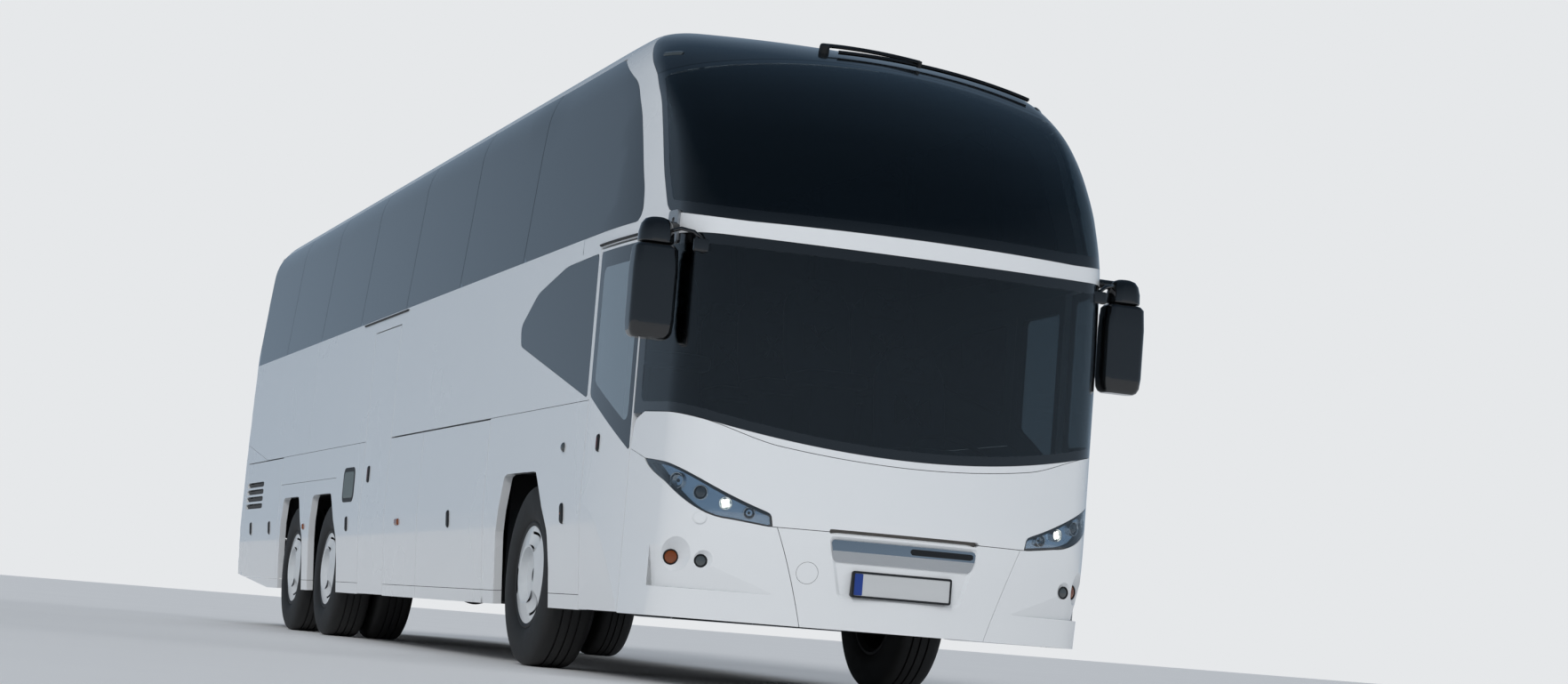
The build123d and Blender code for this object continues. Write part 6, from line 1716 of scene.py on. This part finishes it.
class Roof:
    """Roof skin behind the hoop."""

    # Cell along the roof, and start, end and step of the rays over it, in degrees
    CELL, RAYS = 0.15, (40, 140, 1.5)

    def build(self) -> None:
        """Make the roof panel."""
        grid = Patch.vault(spaced(HOOP_REAR_Y, REAR_SPLIT_Y, self.CELL), spaced(*self.RAYS))
        grid = grid.clip(beyond(2, COVE_Z), beyond(1, HOOP_REAR_Y), outside(in_side(SCREEN)))
        piece = Piece("roof_skin")
        piece.add_panel(grid, WALL, slots=(0, 1))
        piece.build((ENAMEL, LINING), replaces=["roof_panel"], slot="coach_paint")


class RearEnd:
    """Rear wall with its window, engine lid, bumper and tail lamps."""

    # Outlines in rear elevation, as (x, z, corner radius): pane, opening behind it, lid and right tail lamp
    GLASS_LINE = ((-1.010, 2.400, 0.120), (1.010, 2.400, 0.120), (0.930, 3.250, 0.160),
                  (-0.930, 3.250, 0.160))
    WINDOW_LINE = ((-0.920, 2.480, 0.090), (0.920, 2.480, 0.090), (0.850, 3.170, 0.120),
                   (-0.850, 3.170, 0.120))
    LID, LAMP = box(-0.850, 0.810, 0.850, 2.050, 0.036), box(1.005, 1.050, 1.145, 1.950, 0.050)
    # Lower edge of the wall, upper edge of the bumper, and the hole under the tow cover
    WALL_Z, BUMPER_Z, TOW_HOLE = 0.800, 0.798, (-0.400, 0.620, 0.055)
    # Station that the rays leave
    START_Y = 5.9
    # Tail lamp: gap round it, its sheet and depth; dome of its units as (out, rise, radius, points)
    LAMP_GAP, LAMP_PANEL, UNIT_DOME = 0.002, (0.030, 0.008), (-0.003, 0.008, 0.055, 7)
    # Place across, rim as (out, radius), then height and finish number of the round units in each tail lamp
    UNIT_X, UNIT_IN, UNIT_STEPS = 1.075, 0.006, 40
    UNIT_RIM = ((-0.012, 0.062), (-0.002, 0.062), (0.0, 0.060), (0.0, 0.057), (-0.003, 0.055))
    TAIL_UNITS = ((1.140, 3), (1.290, 2), (1.440, 1), (1.590, 1), (1.740, 2), (1.870, 1))

    def build(self) -> None:
        """Make the rear end."""
        whole = Patch.cap(spaced(-75, 75, 1.25), spaced(-74, 90, 1.0), self.START_Y, way=1.0)
        behind = whole.clip(beyond(1, REAR_SPLIT_Y))
        lines = (self.LID, self.GLASS_LINE, self.WINDOW_LINE)
        lid, glass, opening = (in_front(line, mirror=False) for line in lines)
        lamp = in_front(self.LAMP)
        wall = behind.clip(beyond(2, self.WALL_Z), outside(lid, GAP), outside(glass), outside(lamp))
        piece = Piece("rear_wall_panel")
        piece.add_panel(wall.clip(outside(in_side(BAND), GLASS_GAP)), WALL, slots=(0, 1))
        piece.add_panel(behind.clip(glass, outside(opening)), WALL - SEAT, SEAT, slots=(2, 1))
        piece.build((ENAMEL, LINING, MATT_BLACK), replaces=["rear_wall"], slot="coach_paint")
        piece = Piece("rear_window_pane")
        piece.add_panel(behind.clip(glass), GLASS)
        piece.build((DARK_GLASS,), replaces=["rear_glass"], slot="dark_glass")
        piece = Piece("engine_lid_panel")
        piece.add_panel(behind.clip(lambda p: lid(p) - GAP), WALL, slots=(0, 1))
        piece.build((ENAMEL, MATT_BLACK), body="engine_lid", replaces=["engine_lid"], slot="coach_paint")
        piece = Piece("rear_bumper_panel")
        low = behind.clip(beyond(2, self.BUMPER_Z, -1.0), chamfer, outside(in_circle(*self.TOW_HOLE)))
        piece.add_panel(low, WALL, slots=(0, 1))
        piece.build((ENAMEL, MATT_BLACK), replaces=["rear_bumper"], slot="coach_paint")
        piece = Piece("tail_lamp_units")
        piece.add_panel(behind.clip(lambda p: lamp(p) - self.LAMP_GAP), *self.LAMP_PANEL)
        for z, kind in self.TAIL_UNITS:
            for sign in (-1, 1):
                start = np.array([[sign * self.UNIT_X, self.START_Y, z]])
                point = FORM.meet(start, np.array([[0.0, 1.0, 0.0]]))
                normal = FORM.normal(point)[0]
                place = point[0] - normal * self.UNIT_IN
                for profile, slot in ((self.UNIT_RIM, 0), (dome(*self.UNIT_DOME), kind)):
                    Turned(profile, self.UNIT_STEPS).add_to(piece, place, normal, slot)
        piece.build((GLOSS_BLACK, RED_LENS, AMBER, SMOKED_LENS), replaces=["tail_lamps"], slot="red_glass")


@dataclass
class Turned:
    """Form turned about an axis, from a profile of (out along the axis, radius)."""

    profile: Profile
    steps: int = 96

    def add_to(self, piece: Piece, centre: Sequence[float], axis: Sequence[float], slot: int = 0,
               hard: float = HARD) -> None:
        """Add the turned form to a piece; the profile has the open air on its left as it runs.

        Args:
            piece: Piece that gets the faces.
            centre: Point that the profile's distances are counted from.
            axis: Direction that they are counted in.
            slot: Finish number.
            hard: Profile corners sharper than this many degrees stay sharp.
        """
        axis = unit(np.asarray(axis, float))
        flat, up = cross_axes(axis)
        pts = np.array(self.profile)
        runs: list[list[int]] = [[0]]
        for i in range(1, len(pts)):
            runs[-1].append(i)
            if i + 1 < len(pts):
                a, b = unit(pts[i] - pts[i - 1]), unit(pts[i + 1] - pts[i])
                if math.degrees(math.acos(max(-1.0, min(1.0, float(a @ b))))) > hard:
                    runs.append([i])
        angles = np.linspace(0, 2 * math.pi, self.steps, endpoint=False)
        radial = np.cos(angles)[:, None] * flat + np.sin(angles)[:, None] * up
        for run in runs:
            line = pts[run]
            tangents = unit(np.gradient(line, axis=0)) if len(line) > 1 else line
            points = np.concatenate([axis * x + radial * r for x, r in line])
            normals = np.concatenate([axis * -t[1] + radial * t[0] for t in tangents])
            faces = []
            for k in range(len(line) - 1):
                for j in range(self.steps):
                    j2 = (j + 1) % self.steps
                    first, second = k * self.steps, (k + 1) * self.steps
                    if line[k][1] < TINY:
                        faces.append([first + j, second + j2, second + j])
                    elif line[k + 1][1] < TINY:
                        faces.append([first + j, first + j2, second + j])
                    else:
                        faces.append([first + j, first + j2, second + j2, second + j])
            piece.add(points + np.asarray(centre, float), normals, faces, slot)


class Wheels:
    """Tyres and wheel discs."""

    # Section of the tyre from bead to bead, with three grooves in the tread, as (out, radius)
    SHOULDER = ((0.112, 0.2885), (0.112, 0.300), (0.124, 0.309), (0.138, 0.330), (0.146, 0.365),
                (0.1475, 0.405), (0.145, 0.450), (0.139, 0.484), (0.130, 0.504), (0.118, 0.515),
                (0.105, 0.5195), (0.090, 0.522))
    TREAD = ((-0.062, 0.522), (-0.060, 0.508), (-0.052, 0.508), (-0.050, 0.522), (-0.012, 0.522),
             (-0.010, 0.508), (-0.002, 0.508), (0.0, 0.522), (0.040, 0.522), (0.042, 0.508), (0.050, 0.508),
             (0.052, 0.522))
    TYRE = (*((-out, radius) for out, radius in SHOULDER), *TREAD, *SHOULDER[::-1])
    # Closed section of the rim behind the cone, then the face inside it, as (out, radius)
    BEADS = ((-0.126, 0.292), (-0.126, 0.308), (-0.113, 0.308), (-0.113, 0.2885), (0.113, 0.2885),
             (0.113, 0.308), (0.126, 0.308))
    RIM = ((-0.070, 0.0), (-0.070, 0.130), (0.050, 0.140), (0.084, 0.250), (-0.100, 0.270), *BEADS,
           (0.130, 0.298), (0.124, 0.281))
    CONE = ((0.124, 0.281), (0.148, 0.172))
    FACE = ((0.148, 0.172), (0.1492, 0.166), (0.146, 0.158), (0.125, 0.153), (0.106, 0.147), (0.100, 0.138),
            (0.098, 0.096), (0.092, 0.088), (0.092, 0.050), (0.098, 0.044), (0.100, 0.0))
    INNER_RIM = (*BEADS, (0.126, 0.292), (0.100, 0.272), (-0.100, 0.270), (-0.126, 0.292))
    HUB = ((-0.110, 0.0), (-0.110, 0.128), (0.260, 0.128))
    # Balls that press in the scallops: number, turn of the first, radius, middle out and from the axis
    SCALLOPS, SCALLOP_PHASE = 3, math.radians(112.0)
    SCALLOP_RADIUS, SCALLOP_OUT, SCALLOP_REACH = 0.240, 0.350, 0.275
    # Radii and span of a hand hole, sheet of the cone, radii between which its rings are finer,
    # points a ring, and both distances of the rings
    HAND_HOLE, HAND_SPAN, SHEET = (0.234, 0.250), math.radians(40.0), 0.006
    FINE, CONE_STEPS, RINGS = (0.226, 0.258), 132, (0.008, 0.003)
    # Corners that stay sharp on tyres and faces, and on rims, in degrees
    SOFT, SHARP = 50.0, 30.0

    def cone(self, piece: Piece, centre: Array, sign: float) -> None:
        """Cone of the wheel disc with its three scallops and hand holes."""
        (x0, r0), (x1, r1) = self.CONE
        radii = [spaced(r1, r0, self.RINGS[0], *self.FINE), spaced(*self.FINE, self.RINGS[1])]
        radii = np.unique(np.concatenate(radii).round(5))[:, None]
        angles = np.linspace(0, 2 * math.pi, self.CONE_STEPS, endpoint=False)
        out = np.interp(radii, (r1, r0), (x1, x0)) + 0 * angles
        patch = Patch.loft(np.stack([out, radii * np.cos(angles), radii * np.sin(angles)], axis=-1))
        outward = np.tile((1.0, 0.0, 0.0), (len(patch.points), 1))
        stays = Patch(patch.points, outward, patch.faces).moved(patch.points)
        surfaces = []
        for k in range(self.SCALLOPS):
            turn = self.SCALLOP_PHASE + 2 * math.pi * k / self.SCALLOPS
            middle = np.array([math.cos(turn), math.sin(turn)]) * self.SCALLOP_REACH

            def level(p: Array) -> Array:
                far = ((p[:, 1:] - middle) ** 2).sum(axis=1)
                return self.SCALLOP_OUT - np.sqrt(np.maximum(self.SCALLOP_RADIUS**2 - far, TINY))

            def hole(p: Array) -> Array:
                r = np.hypot(p[:, 1], p[:, 2])
                gap = np.abs((np.arctan2(p[:, 2], p[:, 1]) - turn + math.pi) % (2 * math.pi) - math.pi)
                return np.minimum.reduce([r - self.HAND_HOLE[0], self.HAND_HOLE[1] - r,
                                          (self.HAND_SPAN / 2 - gap) * r])
            under = lambda p: p[:, 0] - level(p)
            cut, stays = stays.clip(under), stays.clip(outside(under))
            sunk = cut.moved(np.concatenate([level(cut.points)[:, None], cut.points[:, 1:]], axis=1))
            surfaces.append(sunk.clip(outside(hole)))
        way = np.array([sign, 1.0, 1.0])
        for surface in (stays, *surfaces):
            placed = Patch(surface.points * way + centre, surface.normals * way, surface.faces)
            piece.add_panel(placed, self.SHEET, slots=(0, 1))

    def build(self) -> None:
        """Make tyres and wheel discs."""
        for place, y in AXLES.items():
            for side in Side:
                sign, axle = float(side.value), f"{place}_{side.label}"
                axis, centre = np.array([sign, 0.0, 0.0]), np.array([sign * WHEEL_X, y, TYRE_R])
                twins = [np.array([sign * INNER_WHEEL_X, y, TYRE_R])] if place == "drive" else []
                body = f"wheel_set_{axle}"
                piece = Piece(f"tyre_{axle}_tread")
                for middle in (centre, *twins):
                    Turned(self.TYRE).add_to(piece, middle, axis, hard=self.SOFT)
                piece.build((TYRE,), body=body, replaces=[f"tyre_{axle}"], slot="tyre_rubber")
                piece = Piece(f"wheel_{axle}_disc")
                Turned(self.RIM).add_to(piece, centre, axis, 1, self.SHARP)
                self.cone(piece, centre, sign)
                Turned(self.FACE).add_to(piece, centre, axis, 0, self.SOFT)
                for middle in twins:
                    Turned(self.INNER_RIM).add_to(piece, middle, axis, 1, self.SHARP)
                    Turned(self.HUB).add_to(piece, middle, axis, 1, self.SHARP)
                piece.build((WHEEL_ENAMEL, CHASSIS), body=body, replaces=[f"wheel_{axle}"],
                            slot="wheel_enamel")


class Carried:
    """Frame nodes that keep their form and get a finish of their own."""

    NODES = {
        CHASSIS: ("axles", "tie_rod", "knuckle_left", "knuckle_right", "engine", "underfloor", "front_rails",
                  "rear_rails"),
        MATT_BLACK: ("wheel_housings", "dashboard", "steering_wheel"),
        SILVER: ("front_door_arms", "mid_door_arms"),
        ENAMEL: ("front_door", "mid_door", "roof_unit"),
        CARPET: ("floor",),
    }

    def build(self) -> None:
        """Give each carried node its finish."""
        for finish, names in self.NODES.items():
            for name in names:
                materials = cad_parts[name].data.materials
                materials.clear()
                materials.append(finish.material())


class Studio:
    """Camera, lamps, world and floor."""

    # Camera: place, angles in radians, focal length and width of the photograph in pixels, sensor width
    PLACE = (-5.2419, -18.6826, 0.310)
    YAW, PITCH, ROLL = 0.3534746871, 0.1087872947, 0.0797112899
    FOCAL, WIDTH, SENSOR, CLIP = 2974.82, 1764, 36.0, 300.0
    # Lamps: name, place that they shine from, strength; and their spread
    LAMPS = (("key", (-17.0, -23.0, 19.0), 1.15), ("fill", (20.0, -18.0, 12.0), 0.35))
    SOFTNESS = math.radians(22.0)
    # Heights between which the dome changes, its strength, the plain colour behind, half the floor's width
    RISE, STRENGTH, BACKGROUND, FLOOR_HALF = (-0.05, 0.65), 0.92, "E6E8EA", 140.0
    # Horizon and top of the dome: what lights the coach, and what its glass and paint mirror
    DOMES = (("D6D8DA", "A9B0B8"), ("9AACBE", "485C70"))

    def camera(self) -> None:
        """Camera at the photograph's place and angle."""
        data = bpy.data.cameras.new("camera")
        data.sensor_width, data.clip_end = self.SENSOR, self.CLIP
        data.lens = self.FOCAL / self.WIDTH * self.SENSOR
        eye = bpy.data.objects.new("camera", data)
        bpy.context.scene.collection.objects.link(eye)
        (sy, cy), (sp, cp), (sr, cr) = ((math.sin(a), math.cos(a)) for a in (self.YAW, self.PITCH, self.ROLL))
        ahead, right = Vector((sy * cp, cy * cp, sp)), Vector((cy, -sy, 0.0))
        up = right.cross(ahead)
        turn = Matrix((right * cr + up * sr, up * cr - right * sr, -ahead)).transposed().to_4x4()
        eye.matrix_world = Matrix.Translation(self.PLACE) @ turn
        bpy.context.scene.camera = eye

    def lamp(self, name: str, place: tuple[float, float, float], strength: float) -> None:
        """One soft far lamp that shines from a place towards the coach."""
        data = bpy.data.lights.new(name, "SUN")
        data.energy, data.angle = strength, self.SOFTNESS
        item = bpy.data.objects.new(name, data)
        bpy.context.scene.collection.objects.link(item)
        item.location = place
        item.rotation_euler = (-Vector(place)).to_track_quat("-Z", "Y").to_euler()
        item.visible_glossy = item.visible_transmission = False

    def world(self) -> None:
        """Soft sky-like dome: pale at the horizon, and plain for the camera."""
        world = bpy.data.worlds.new("studio")
        bpy.context.scene.world = world
        world.use_nodes = True
        tree = world.node_tree
        tree.nodes.clear()
        place = add_node(tree, "ShaderNodeTexCoord").outputs["Generated"]
        split = add_node(tree, "ShaderNodeSeparateXYZ", links={"Vector": place})
        rise = add_node(tree, "ShaderNodeMapRange", {"From Min": self.RISE[0], "From Max": self.RISE[1]},
                        {"Value": split.outputs["Z"]})
        ray = add_node(tree, "ShaderNodeLightPath")
        domes = []
        for horizon, top in self.DOMES:
            dome = add_node(tree, "ShaderNodeMix", {"data_type": "RGBA"}, {"Factor": rise.outputs["Result"]})
            dome.inputs[MIX_A].default_value = linear(horizon)
            dome.inputs[MIX_B].default_value = linear(top)
            domes.append(dome.outputs[MIXED])
        pick = add_node(tree, "ShaderNodeMix", {"data_type": "RGBA"},
                        {"Factor": ray.outputs["Is Glossy Ray"]})
        tree.links.new(domes[0], pick.inputs[MIX_A])
        tree.links.new(domes[1], pick.inputs[MIX_B])
        light = add_node(tree, "ShaderNodeBackground", {"Strength": self.STRENGTH},
                         {"Color": pick.outputs[MIXED]})
        plain = add_node(tree, "ShaderNodeBackground", {"Strength": 1.0})
        plain.inputs["Color"].default_value = linear(self.BACKGROUND)
        both = add_node(tree, "ShaderNodeMixShader", links={0: ray.outputs["Is Camera Ray"],
                                                            1: light.outputs[0], 2: plain.outputs[0]})
        add_node(tree, "ShaderNodeOutputWorld", links={"Surface": both.outputs[0]})

    def floor(self) -> None:
        """Large flat floor under the wheels."""
        mesh = bpy.data.meshes.new("floor")
        s = self.FLOOR_HALF
        mesh.from_pydata([(-s, -s, 0), (s, -s, 0), (s, s, 0), (-s, s, 0)], [], [(0, 1, 2, 3)])
        mesh.materials.append(FLOOR.material())
        item = bpy.data.objects.new("floor_stage", mesh)
        bpy.context.scene.collection.objects.link(item)

    def build(self) -> None:
        """Set up the studio."""
        self.camera()
        self.world()
        self.floor()
        for lamp in self.LAMPS:
            self.lamp(*lamp)
        bpy.context.scene.view_settings.view_transform = "Standard"


def main() -> None:
    """Make the visible model piece by piece round the frame."""
    logging.basicConfig(level=logging.INFO, format="%(message)s")
    for part in (Carried, FrontEnd, FrontLamps, UpperFittings):
        part().build()
    glass = Piece("side_panes")
    for side in Side:
        flank = Flank(side)
        flank.build()
        flank.glass(glass)
    glass.build((DARK_GLASS, FRIT, SCREEN_GLASS), replaces=["side_glass"], slot="dark_glass")
    for part in (Doors, Roof, RearEnd, Wheels, Fittings, Seats, Studio):
        part().build()


if __name__ == "__main__":
    main()
